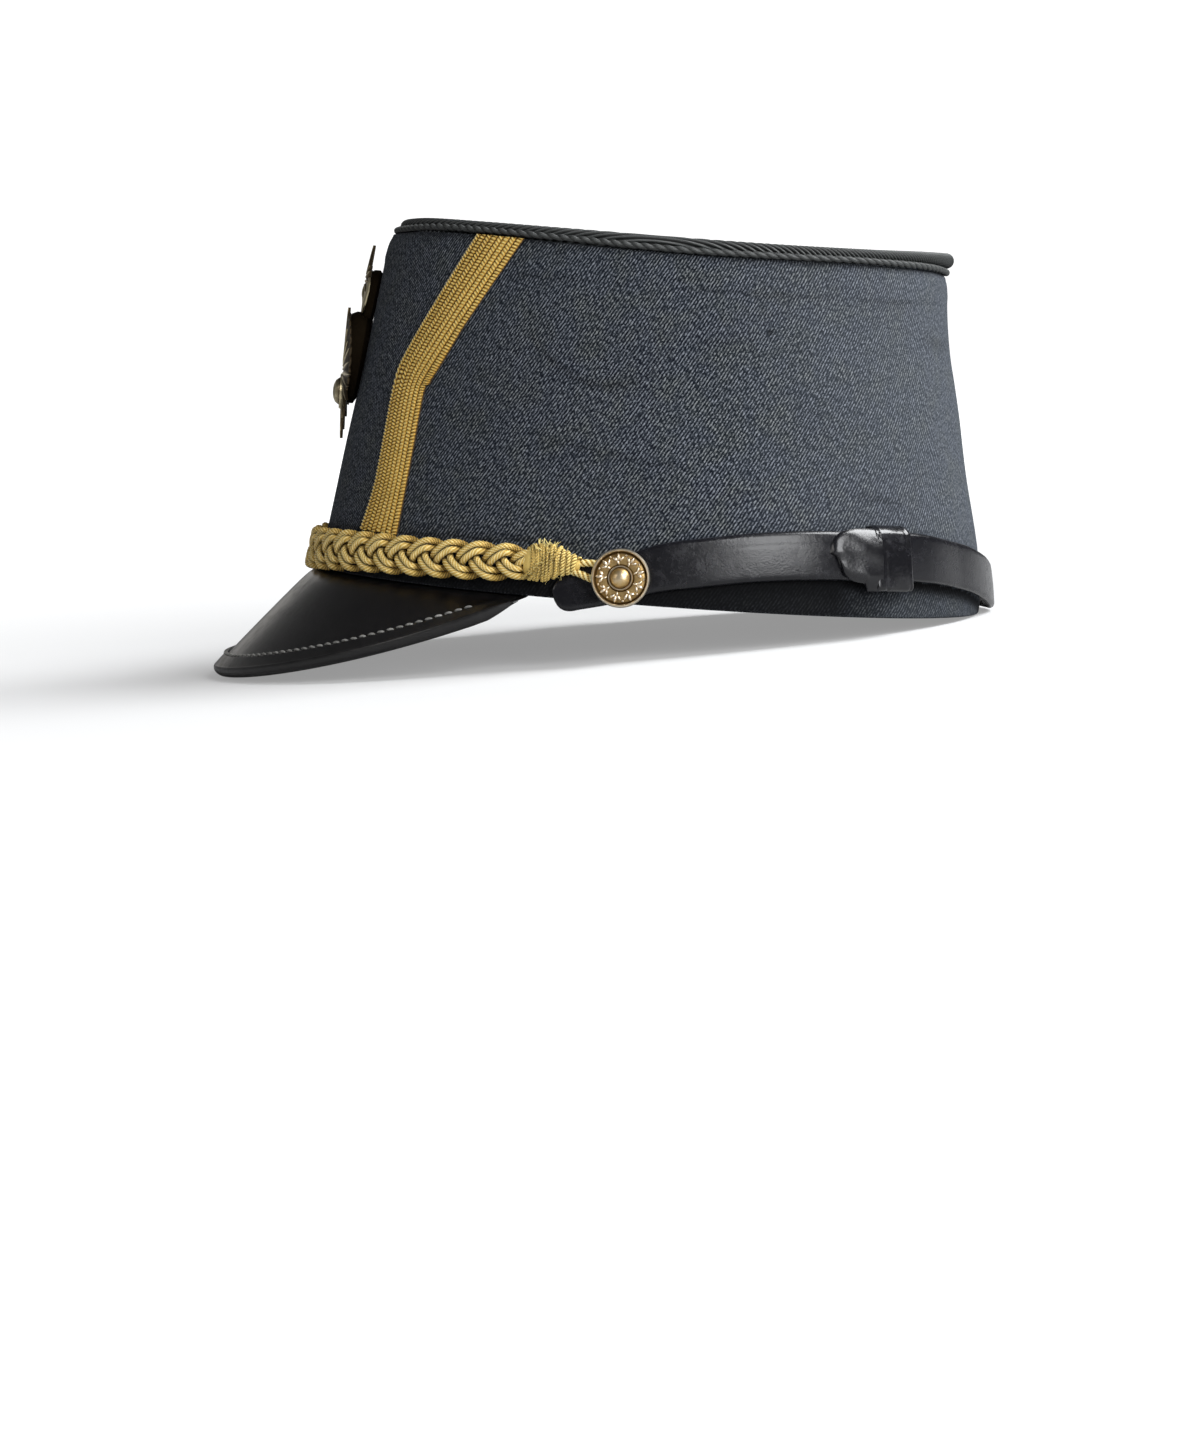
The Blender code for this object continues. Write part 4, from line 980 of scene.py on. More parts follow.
def buildBinding():
    c = peak
    turns = np.linspace(-0.992, 0.992, 560)
    outward, normal = peakRulings(turns)
    edge = peakPoint(turns, 1.0)
    width = np.linalg.norm(edge - peakPoint(turns, 0.0), axis=1)
    depth = np.minimum(c["bindingDepth"], c["bindingLimit"] * width)
    sheetShare = sheetThin(turns)
    middle = edge - normal * (c["sheet"] / 2 * sheetShare)[:, None]
    run = distances(edge)
    cavity = c["sheet"] / 2 + c["bindingGap"]
    outside = c["sheet"] / 2 + 0.45 + c["bindingLeather"]
    front = 0.45 + c["bindingLeather"]
    thin = np.clip((1 - np.abs(turns)) / 0.09, 0.15, 1) ** 0.7  # it thins out towards the corners
    tap = 0.5 + 0.5 * np.cos(2 * np.pi * run / c["stitchPitch"])
    rows = []
    # section from the upper flap's cut end round the edge to the lower one, then back inside
    fan = np.radians(np.linspace(90, -90, 17))
    for i in range(len(turns)):
        flap = depth[i]
        section = []
        for x in np.linspace(-flap, -0.3 * front, 20):
            fromEnd = x + flap
            sink = (0.20 * math.exp(-((fromEnd - c["stitchInset"]) / 0.5) ** 2)
                    * (0.45 + 0.55 * tap[i]))
            level = outside - 0.35 * math.exp(-fromEnd / 0.30) - sink
            section.append((x, level))
        for a in fan:
            section.append((-0.3 * front + 1.4 * front * math.cos(a), outside * math.sin(a)))
        for x in np.linspace(-0.3 * front, -flap, 8)[1:]:
            section.append((x, -outside + 0.3 * math.exp(-(x + flap) / 0.35)))
        for x in (-flap, -0.3, cavity * 0.25):
            section.append((x, -cavity))
        for x in (cavity * 0.25, -0.3, -flap):
            section.append((x, cavity))
        section = np.array(section)
        reach = np.abs(section[:, 1]) - cavity
        hold = c["sheet"] / 2 * sheetShare[i] + c["bindingGap"]
        section[:, 1] = np.sign(section[:, 1]) * np.where(
            reach > 0, hold + reach * thin[i], np.abs(section[:, 1]) * hold / cavity)
        section[:, 0] *= np.where(section[:, 0] > 0, thin[i], 1)
        rows.append(middle[i] + section[:, :1] * outward[i] + section[:, 1:] * normal[i])
    points = np.stack(rows)
    across = distances(points[len(turns) // 2], loop=True)
    shape = newShape()
    addGrid(shape, points, run, across)
    finishPiece("peakBinding", shape, edgeLeather, ["peak_binding"], sharp=50)

    shape = newShape()
    count = int(run[-1] / c["stitchPitch"])
    for k in range(count):
        if not 0.05 < (k + 0.5) / count < 0.95:
            continue
        rowsOf = []
        for t in np.linspace(-0.5, 0.5, 7):
            at = (k + 0.5) * c["stitchPitch"] + t * c["stitchLength"]
            base = sampleAt(at, run, edge)
            n, o = unit(sampleAt(at, run, normal)), unit(sampleAt(at, run, outward))
            flap = np.interp(at, run, depth)
            slip = 0.55 * t  # stitches lie askew
            rowsOf.append(base - n * c["sheet"] / 2
                          + o * (c["stitchInset"] - flap + slip)
                          + n * (outside + 0.10 - 0.8 * t * t))
        radius = c["stitchRadius"] * np.array((0.5, 0.85, 1, 1, 1, 0.85, 0.5))
        addCord(shape, np.array(rowsOf), n, radius, 6)
    finishPiece("bindingStitches", shape, stitchThread, [])


buildPeak()
buildBinding()
print("peak built")


# Plait over the peak, with its bound ends

plait = {
    "height": 13.0, "thickness": 4.8, "reach": 70.0,
    # degrees from the front, height of its middle, swing of its strands
    "lie": ((0, 5.3, 4.55), (11, 6.0, 4.55), (25, 7.2, 4.40), (34, 7.85, 4.25), (50, 8.5, 4.0),
            (63.6, 9.5, 3.75), (70, 9.8, 3.7)),
    "leaf": 9.1,  # pitch of the leaves along one edge
    "cord": 2.12, "pairSpread": 1.04, "depth": 1.18, "flatten": 0.22,
    "step": 0.42, "sides": 15, "lobes": 5, "lobeDepth": 0.15, "lead": 5.6,
}


def plaitLevel(angle):
    return smooth(plait["lie"], np.abs(angle))


def buildPlait():
    c = plait
    fine = np.linspace(-c["reach"], c["reach"], 1500)
    off = cap["gap"] + c["thickness"] / 2 + 0.05
    centre, along, up, out = crownFrame(fine, plaitLevel(fine), off)
    run = distances(centre)
    s = np.arange(0, run[-1], c["step"])
    lay = [sampleAt(s, run, field) for field in (centre, along, up, out)]
    swing = smooth(c["lie"], np.abs(np.interp(s, run, fine)), 2)
    period = 3 * c["leaf"]
    nearEnd = shareOf(np.minimum(s, run[-1] - s), 9.0)
    shape = newShape()
    for strand in range(3):
        phi = 2 * np.pi * (s / period + strand / 3)
        lift = np.sin(phi) * swing * (0.62 + 0.38 * nearEnd)
        slope = np.gradient(lift, s)
        weave = np.sin(2 * phi)
        weave = weave / np.sqrt(weave ** 2 + c["flatten"]) * math.sqrt(1 + c["flatten"])
        norm = np.sqrt(1 + slope ** 2)
        for pair in (-1, 1):
            spread = pair * c["pairSpread"]
            wobble = 0.10 * np.sin(s / 3.1 + strand * 2.1 + pair)
            path = (lay[0]
                    + lay[1] * (-slope / norm * spread)[:, None]
                    + lay[2] * (lift + spread / norm + wobble)[:, None]
                    + lay[3] * (weave * c["depth"])[:, None])
            length = distances(path)
            phase = 2 * np.pi * length / c["lead"] * pair
            # strands are painted darker where they dip under the others: painted shade
            tone = 0.74 + 0.26 * np.clip(weave, -1, 1)
            addCord(shape, path, lay[3], c["cord"] / 2, c["sides"], phase, c["lobes"],
                    c["lobeDepth"], shade=tone)
    finishPiece("plait", shape, cordGold, ["braid"])


knot = {
    "start": 68.4, "end": 77.8, "long": 15.8,
    # along, full height, full depth in millimetres
    "sections": ((0.00, 8.2, 5.0), (0.08, 9.8, 6.0), (0.25, 11.3, 6.8), (0.44, 11.0, 6.6),
                 (0.54, 10.0, 6.0), (0.62, 8.9, 5.4), (0.76, 7.4, 4.8), (0.90, 5.4, 4.0),
                 (1.00, 4.4, 3.2)),
    "rise": 2.1,  # how far its end stands off, to clear the strap's tip
    "mainThread": 0.60, "mainPitch": 1.06, "mainSpan": (0.05, 0.57),
    "endThread": 0.80, "endPitch": 1.50, "endSpan": (0.58, 0.97),
    "tuft": 26, "fuzz": 70,
}


def knotSpot(side, along, swing, inset, drift=0.0):
    # point on the knot's skin, and the direction out of it
    angle = (knot["start"] + (knot["end"] - knot["start"]) * (along + drift)) * side
    halfUp = smooth(knot["sections"], along, 1) / 2 - inset
    halfOut = smooth(knot["sections"], along, 2) / 2 - inset
    base = cap["gap"] + knot["rise"] * along + inset
    level = 9.5 + 0.75 + 0.75 * along
    centre, _, up, out = crownFrame(angle, level, base + halfOut)
    rise, depth = np.cos(swing)[:, None], np.sin(swing)[:, None]
    spot = centre + up * rise * halfUp[:, None] + out * depth * halfOut[:, None]
    return spot, unit(up * rise * halfOut[:, None] + out * depth * halfUp[:, None])


def buildKnot(name, node, side, seed):
    c = knot
    rng = random.Random(seed)
    shape = newShape()
    sharesAlong = np.linspace(0.0, 1.0, 25)
    swings = fullTurn(20)
    core = [knotSpot(side, np.full(20, a), swings, c["mainThread"] * 1.1)[0] for a in sharesAlong]
    addGrid(shape, np.stack(core), sharesAlong * 16, np.linspace(0, 30, 21), relief=0.7)

    def wind(span, pitch, radius, slope, phase, sides, shade, wild):
        turns = abs(span[1] - span[0]) * c["long"] / pitch
        psi = np.linspace(0, 2 * np.pi * turns, int(turns * 34))
        along = span[0] + (span[1] - span[0]) * psi / psi[-1]
        drift = slope * np.sin(psi + phase) / c["long"]
        drift = drift + wild * (np.sin(psi * 0.73 + phase * 3) + 0.7 * np.sin(psi * 1.37 + phase))
        lift = radius * (1 - 0.35 * np.sin(psi * 0.61 + phase) ** 2)
        spot, guide = knotSpot(side, along, psi * side, lift, drift)
        twist = 2 * np.pi * distances(spot) / 2.6
        addCord(shape, spot, guide, radius * (1.0 + 0.08 * np.sin(psi * 1.7)), sides, twist, 3,
                0.16, shade=shade)

    wind(c["mainSpan"], c["mainPitch"], c["mainThread"], 1.3, 0.0, 9, 0.95, 0.012)
    wind((0.50, 0.10), 2.3, c["mainThread"], 2.6, 1.1, 9, 1.0, 0.022)
    wind(c["endSpan"], c["endPitch"], c["endThread"], 0.50, 0.6, 12, 0.95, 0.008)
    _, forward, up, out = crownFrame(side * 71.0, 12.0)
    # frayed ends on the top
    for _ in range(c["tuft"]):
        along = rng.uniform(0.22, 0.56)
        foot, guide = knotSpot(side, np.array((along,)), np.array((rng.uniform(-0.4, 0.9),)), 0.5)
        lean = forward * side * rng.uniform(-0.9, 1.1) + out * rng.uniform(-0.2, 0.7)
        length = rng.uniform(0.7, 1.9)
        t = np.linspace(0, 1, 8)[:, None]
        path = foot[0] + (guide[0] * 0.9 + up * 0.4) * t * length + lean * t ** 2 * length * 0.9
        addCord(shape, path, out + 0.3 * forward, 0.15 * (1.2 - t[:, 0] * 0.7), 5)
    # loose fibres all over
    for _ in range(c["fuzz"]):
        along = rng.uniform(0.06, 0.95)
        foot, guide = knotSpot(side, np.array((along,)), np.array((rng.uniform(-1.6, 3.4),)), 0.25)
        lean = forward * side * rng.uniform(-1, 1) + up * rng.uniform(-1, 1)
        length = rng.uniform(0.5, 1.3)
        t = np.linspace(0, 1, 5)[:, None]
        path = foot[0] + guide[0] * t * length * 0.8 + lean * t ** 1.6 * length
        addCord(shape, path, out + 0.31 * forward, 0.055, 3)
    finishPiece(name, shape, bindGold, [node])


buttonCord = {"shank": 1.5, "thick": 2.3, "lobes": 3, "depth": 0.18, "lead": 5.0, "sides": 15}
buttonAngle, buttonLevel = 84.7, 7.3  # degrees from the front, height
strapThick = 1.8


def buildButtonCord(name, node, side):
    c = buttonCord
    clear = c["shank"] + cap["gap"] + c["thick"] / 2
    route = [(75.8, 10.9), (77.2, 11.2), (79.2, 11.5), (81.2, 11.4), (82.6, 11.0)]
    for quarter in np.linspace(70, -90, 7):
        swing = math.radians(quarter)
        ahead = degreesFor(clear * math.cos(swing), buttonAngle, buttonLevel)
        route.append((buttonAngle + ahead, buttonLevel + clear * math.sin(swing)))
    route += [(81.6, 5.6), (79.8, 6.9), (78.0, 8.1), (76.6, 8.7), (75.6, 9.0)]
    keys = np.array(route)
    t = distances(keys * (1.6, 1.0))  # a degree is about 1.6 mm here
    fine = np.linspace(0, t[-1], 150)
    angle = np.interp(fine, t, keys[:, 0])
    height = np.interp(fine, t, keys[:, 1])
    kernel = np.hanning(13) / np.hanning(13).sum()
    for field in (angle, height):
        field[6:-6] = np.convolve(field, kernel, "valid")
    off = cap["gap"] + strapThick + cap["gap"] + c["thick"] / 2
    path, _, _, out = crownFrame(angle * side, height, off)
    phase = 2 * np.pi * distances(path) / c["lead"]
    shape = newShape()
    addCord(shape, path, out, c["thick"] / 2, c["sides"], phase, c["lobes"], c["depth"])
    finishPiece(name, shape, cordGold, [node])


buildPlait()
for side, word in ((1, "left"), (-1, "right")):
    buildKnot("knot" + word.capitalize(), "knot_" + word, side, 7 + side)
    buildButtonCord("buttonCord" + word.capitalize(), "button_cord_" + word, side)
print("plait, knots and button cords built")


# Gold lace

lace = {
    "width": 15.0, "base": 0.50, "rib": 0.72, "ribs": 8, "samples": 7,
    "topAngle": 53.2, "bendAngle": 35.0, "bend": 0.585, "bendRound": 4.0,
    "tuck": 0.6, "step": 0.26,
    "bead": 1.04, "beadDepth": (0.86, 0.86, 0.82, 0.76, 0.66, 0.60, 0.66, 0.80),
    "overlap": 1.2, "flare": 3.6,
}


def buildLace(name, node, side):
    c = lace
    bend = c["bend"] * cap["height"]
    top = float(edgeHeight(c["topAngle"])) - cap["gap"]
    bottom = float(plaitLevel(c["bendAngle"])) + plait["height"] / 2 - c["tuck"]
    heights = np.arange(top + 0.9, bottom, -c["step"])
    slope = (c["topAngle"] - c["bendAngle"]) / (top - bend)
    x = heights - bend
    ease = c["bendRound"] / 2
    centre = c["bendAngle"] + slope * (0.5 * (x + np.sqrt(x * x + 4 * ease * ease))
                                       - 0.5 * c["bendRound"] * bell(x, 14) * 0.4)
    perDegree = np.array([1 / degreesFor(1.0, a, h) for a, h in zip(centre, heights)])
    lean = np.gradient(centre, heights) * perDegree  # sideways run for each millimetre up
    stretch = np.sqrt(1 + lean ** 2)
    run = runningSum(c["step"] * stretch[:-1])
    samples = c["ribs"] * c["samples"]
    across = (np.arange(samples + 1) / samples - 0.5) * c["width"]
    edgeStep = c["overlap"] * shareOf(bend + 16 - heights, 14) * (heights > bend - 1.5)
    widened = (across[None, :]
               + edgeStep[:, None] * np.clip(across / c["width"] * 2, 0, 1)[None, :] ** 6)
    flare = c["flare"] * shareOf(bottom + 17 - heights, 17) ** 1.6
    widened = widened - flare[:, None] * (0.5 - across / c["width"])[None, :]
    sideways = widened * stretch[:, None]
    angle = centre[:, None] + sideways / perDegree[:, None]
    height = np.broadcast_to(heights[:, None], angle.shape)
    height = np.minimum(height, edgeHeight(angle) - cap["gap"])
    local = (across / c["width"] + 0.5) * c["ribs"]
    ribIndex = np.clip(local.astype(int), 0, c["ribs"] - 1)
    inRib = 2 * (local - ribIndex) - 1
    profile = np.sqrt(np.clip(1 - inRib ** 2, 0, 1)) ** 0.8
    placeAlong = run[:, None] - sideways * (lean / stretch)[:, None]
    cross = inRib[None, :] * np.where(ribIndex % 2, 1, -1)[None, :]
    beads = 0.5 + 0.5 * np.cos(2 * np.pi * (placeAlong / c["bead"] + 0.5 * (ribIndex % 2)[None, :]
                                            + 0.22 * cross))
    depth = np.array(c["beadDepth"])[ribIndex][None, :]
    # the relief also paints shade between the beads and highlight on them, through the gold's
    # colour ramp
    relief = profile[None, :] * (1 - depth * (1 - beads ** 0.8))
    sag = 0.25 * np.exp(-((across / c["width"] * 2) ** 2 - 1) ** 2 * 6)[None, :]
    outer = onCrown(angle * side, height, cap["gap"] + c["base"] + c["rib"] * relief - sag)
    inner = onCrown(angle * side, height, cap["gap"])[:, [-1, samples // 2, 0]]
    points = np.concatenate((outer, inner), 1)
    reliefs = np.concatenate((relief, np.zeros((len(heights), 3))), 1)
    v = np.concatenate((across + c["width"] / 2, (15.2, 22.0, 29.0, 29.2)))  # then the back
    shape = newShape()
    addGrid(shape, points, run, v, relief=reliefs)
    finishPiece(name, shape, laceGold, [node])


buildLace("laceLeft", "lace_left", 1)
buildLace("laceRight", "lace_right", -1)
print("lace built")


# Strap and keeper

strap = {
    "width": 13.8, "wider": 0.8, "thick": strapThick,
    "tip": 73.4, "frontEnd": 139.5, "rearEnd": 130.2, "fall": 14.0,  # degrees from the front
    # degrees from the front, height as a share of the width, lift as a share of the thickness
    "path": ((73.4, 0.16, 0.0), (78.0, 0.30, 0.0), (84.7, 0.53, 0.0), (90.0, 0.78, 0.0),
             (97.0, 0.95, 0.05), (107.0, 1.15, 0.35), (118.0, 1.26, 0.84), (128.0, 1.28, 0.86),
             (140.0, 1.27, 0.90), (156.0, 1.09, 1.00), (168.0, 0.83, 1.20), (180.0, 0.55, 1.50),
             (205.0, 0.51, 1.20),
             (230.0, 0.50, 0.60), (252.0, 0.50, 0.20), (268.0, 0.54, 0.0), (275.3, 0.53, 0.0),
             (282.0, 0.30, 0.0), (286.6, 0.16, 0.0)),
    "dome": 0.35, "edgeRound": 0.55, "crease": 0.24, "creaseDepth": 0.16,
    "step": 0.32,
}


def strapSections(angles, trims, extra, creased):
    c = strap
    level = c["width"] * smooth(c["path"], angles, 1)
    base = cap["gap"] + c["thick"] * smooth(c["path"], angles, 2) + extra
    middle, _, up, out = crownFrame(angles, level)
    profile = []
    for q in np.linspace(-1, 1, 33):  # outer face, bottom to top
        edge = 1 - abs(q)
        drop = c["edgeRound"] * math.exp(-edge / 0.05)
        profile.append((q, 1.0 - drop, 1 - q * q))
    for q, lift in ((1.0, 0.22), (0.985, 0.06), (0.93, 0.0), (0.5, 0.0), (0.0, 0.0),
                    (-0.5, 0.0), (-0.93, 0.0), (-0.985, 0.06), (-1.0, 0.22)):
        profile.append((q, lift, 0.0))
    rows = np.zeros((len(angles), len(profile), 3))
    relief = np.ones((len(angles), len(profile)))
    half = c["width"] / 2
    widerAt = shareOf(angles - 84, 10) * np.clip((150 - angles) / 12, 0.2, 1)
    for k, (q, lift, dome) in enumerate(profile):
        x = q * half * trims + (c["wider"] * max(q, 0) * (0.5 + 0.5 * q)) * trims * widerAt
        height = base + c["thick"] * lift + (c["dome"] * (dome - 1) * 0.6 if k < 33 else 0.0)
        if k < 33:
            spot = (half - x) / c["width"]  # 0 at the top edge
            dip = creased * c["creaseDepth"] * bell(spot - c["crease"], 0.018)
            height = height - dip
            height = height - creased * 0.25 * np.clip(1 - spot / c["crease"], 0, 1)
            height = height + 0.03 * np.sin(angles * 0.45 + q * 2) * np.sin(angles * 0.17)
            if abs(q) > 0.93:
                relief[:, k] = 1.0 + 0.35 * (abs(q) > 0.96)
        rows[:, k] = middle + up * x[:, None] + out * height[:, None]
    return rows, relief


def buildStrap(name, node, start, end, tipStart, tipEnd, lifted):
    c = strap
    count = int(abs(end - start) * 1.62 / c["step"])
    angles = np.linspace(start, end, count)
    perDegree = 1 / degreesFor(1.0, 80.0, 5.0)
    trims = np.ones(count)
    for tip, sign in ((tipStart, 1), (tipEnd, -1)):
        if tip is not None:
            fromTip = np.clip((angles - tip) * sign * perDegree / (c["width"] / 2), 0.004, 1)
            trims = np.minimum(trims, np.sqrt(1 - (1 - fromTip) ** 2))
    extra = np.zeros(count)
    if lifted:
        share = shareOf(angles - c["frontEnd"] - 1, c["fall"])
        extra = (c["thick"] + cap["gap"]) * (1 - share * share * (3 - 2 * share))
    creased = (not lifted) * shareOf(angles - 100, 9) * shareOf(128 - angles, 5)
    points, relief = strapSections(angles, trims, extra, creased)
    run = (angles - start) * perDegree
    across = np.concatenate((np.linspace(0, c["width"], 33), c["width"] + np.linspace(1, 15, 10)))
    shape = newShape()
    addGrid(shape, points, run, across, relief=relief)
    finishPiece(name, shape, strapLeather, [node])


buildCrown()
print("crown built")
buildStrap("strapFront", "strap_front", strap["tip"], strap["frontEnd"], strap["tip"], None, False)
buildStrap("strapRear", "strap_rear", strap["rearEnd"], strap["path"][-1][0], None,
           strap["path"][-1][0], True)

keeper = {
    "front": 120.8, "loop": 128.6, "back": 136.3, "leather": 1.3, "side": 1.9, "flange": 1.0,
    "seamDepth": 0.30, "wrinkle": 0.075,
    # along, half width, climb over the strap's end
    "tongue": ((0.00, 0.10, 0.0), (0.02, 0.32, 0.02), (0.06, 0.52, 0.06), (0.14, 0.72, 0.14),
               (0.28, 0.88, 0.28), (0.45, 0.96, 0.45), (0.70, 1.00, 0.72), (0.90, 1.00, 0.95),
               (1.00, 1.00, 1.0)),
}


def tongueFall(q):  # how far the tongue rounds down across its width
    return 2.5 * max(0.0, (q - 0.05) / 0.95) ** 2 + 0.9 * max(0.0, (-q - 0.6) / 0.4) ** 2


def buildKeeper():
    c = keeper
    level = float(strap["width"] * smooth(strap["path"], c["loop"], 1)) + strap["wider"] / 2
    innerHalf = (strap["width"] + strap["wider"]) / 2 + cap["gap"]
    outerHalf = innerHalf + c["side"]
    angles = np.linspace(c["loop"], c["back"], 34)
    lift = strap["thick"] * smooth(strap["path"], angles, 2)
    middle, _, up, out = crownFrame(angles, level)
    stack = lift + 2 * strap["thick"] + 3 * cap["gap"]
    high = stack + c["leather"]
    shape = newShape()

    # Round the loop: across and lift of the outer skin, then of the inner one
    ringOuter, ringInner = [], []
    bottomRound, topRound = 1.4, 3.0
    lowEdge = -outerHalf - c["flange"]
    corners = ((lowEdge, 0.0, 0.6), (outerHalf, 0.0, 0.6), (outerHalf, 1.0, topRound),
               (lowEdge, 1.0, bottomRound))
    for x, z, radius in corners:
        sx, sz = (1 if x > 0 else -1), (1 if z > 0.5 else -1)
        begin = {(-1, -1): 180, (1, -1): 270, (1, 1): 0, (-1, 1): 90}[(sx, sz)]
        for k in range(9):
            a = math.radians(begin + 90 * k / 8)
            ringOuter.append((x - sx * radius + radius * math.cos(a), z,
                              -sz * radius + radius * math.sin(a)))
            inner = max(radius - c["side"], 0.25)
            ringInner.append((sx * (innerHalf - inner) + inner * math.cos(a), z,
                              -sz * inner + inner * math.sin(a)))
    share = np.linspace(0, 1, len(angles))
    edgeFall = 0.35 * (np.exp(-share / 0.03) + np.exp(-(1 - share) / 0.03))
    rows, relief = [], []
    for (x, z, dz), (xi, zi, dzi) in zip(ringOuter, ringInner):
        floorOuter, floorInner = cap["gap"] + 0 * lift, lift + cap["gap"]
        level0 = np.where(z > 0.5, high, floorOuter) + dz
        level1 = np.where(zi > 0.5, stack, floorInner) + dzi
        onTop = float(z > 0.5)
        slant = -0.06 * x / outerHalf
        seam = sum(bell(share - place - slant * tilt, 0.030)
                   for place, tilt in ((0.13, 1.6), (0.86, 0.7)))
        wave = c["wrinkle"] * (np.sin(x * 0.7 + share * 5) * np.sin(x * 0.37 - share * 8 + 1.2)
                               + 0.4 * np.sin(x * 1.3 + share * 9)) * onTop
        shrink = 1 - (edgeFall + 0.5 * seam * c["seamDepth"]) / outerHalf
        domed = 1.9 * max(0.0, (x / outerHalf - 0.10) / 0.90) ** 2
        level0 = level0 - onTop * (edgeFall + seam * c["seamDepth"] + domed) + wave
        outerRow = middle + up * (x * shrink)[:, None] + out * level0[:, None]
        innerRow = middle + up * xi + out * level1[:, None]
        rows.append(np.concatenate((outerRow, innerRow[::-1])))
        relief.append(np.concatenate((1 - 0.35 * seam + 0.3 * (edgeFall > 0.12), 0 * angles)))
    points = np.stack(rows)
    acrossV = np.concatenate((share * 14, (share * 14 + 15), (30.0,)))
    addGrid(shape, points, distances(points[:, 0], loop=True), acrossV, relief=np.stack(relief),
            wrapRows=True)

    # Tongue on the front strap
    shares = np.linspace(0, 1, 46) ** 1.25
    angles = c["front"] + (c["loop"] + 0.9 - c["front"]) * shares
    lift = strap["thick"] * smooth(strap["path"], angles, 2)
    half = (innerHalf + 0.7) * smooth(c["tongue"], shares, 1)
    # near the loop its lower side wraps down round the strap
    wrap = (c["side"] + c["flange"] - 0.7) * shareOf(shares - 0.60, 0.05)
    climb = smooth(c["tongue"], shares, 2)
    base = lift + strap["thick"] + 2.2 * cap["gap"] + (strap["thick"] + cap["gap"]) * climb
    rows, relief = [], []
    count = 41
    for q in np.linspace(-1, 1, count):
        middle, _, up, out = crownFrame(angles - 0.9 * q * (1 - shares), level)
        rim = 0.55 * np.exp(-(1 - abs(q)) * half / 0.55) + 0.45 * np.exp(-shares * 8.8 / 0.5)
        wave = c["wrinkle"] * (np.sin(q * 4 + shares * 7) * np.sin(q * 3.1 - shares * 5 + 0.7)
                               + 0.5 * np.sin(q * 6 + shares * 9))
        press = 0.10 * np.exp(-((q + 0.15) / 0.35) ** 2 - ((shares - 0.45) / 0.2) ** 2)
        height = (base + c["leather"] * 0.98 - tongueFall(q) * (0.35 + 0.65 * climb) - rim + wave
                  - press)
        rows.append(middle + up * (q * half - wrap * max(0.0, -q) ** 4)[:, None]
                    + out * height[:, None])
        relief.append(1.0 + 0.25 * (np.exp(-(1 - abs(q)) * half / 0.4) > 0.5))
    for q in (1.0, 0.4, -0.4, -1.0):
        middle, _, up, out = crownFrame(angles - 0.9 * q * (1 - shares), level)
        height = base - tongueFall(q) * (0.35 + 0.65 * climb)
        rows.append(middle + up * (q * half * 0.99 - wrap * max(0.0, -q) ** 4)[:, None]
                    + out * height[:, None])
        relief.append(np.zeros(len(shares)))
    points = np.stack(rows, 1)
    across = np.concatenate((np.linspace(0, 16, count), np.linspace(17, 32, 5)))
    addGrid(shape, points, shares * 13.5, across, relief=np.stack(relief, 1))
    finishPiece("slideKeeper", shape, keeperLeather, ["slide_keeper"])


buildKeeper()
print("strap and keeper built")


# Buttons

button = {
    "across": 17.5, "thick": 3.6, "petals": 9, "sides": 120,
    # turned body: radius and height as shares, relief, which paints highlight on the rim and shade
    # in the grooves
    "profile": ((0.17, -0.5, 0.3), (0.171, 0.0, 0.3), (0.90, 0.02, 0.4), (0.985, 0.12, 0.7),
                (1.00, 0.34, 1.0), (0.995, 0.50, 1.15), (0.97, 0.61, 1.2), (0.935, 0.62, 1.15),
                (0.905, 0.54, 0.8), (0.893, 0.30, 0.05), (0.855, 0.22, 0.0), (0.82, 0.30, 0.30),
                (0.66, 0.36, 0.42), (0.47, 0.33, 0.32), (0.44, 0.26, 0.05), (0.425, 0.42, 0.6),
                (0.405, 0.54, 1.1), (0.380, 0.54, 1.0), (0.365, 0.44, 0.4), (0.345, 0.42, 0.1),
                (0.330, 0.56, 0.45), (0.30, 0.72, 0.55), (0.22, 0.90, 0.65), (0.11, 0.98, 0.75),
                (0.01, 1.00, 0.8)),
}


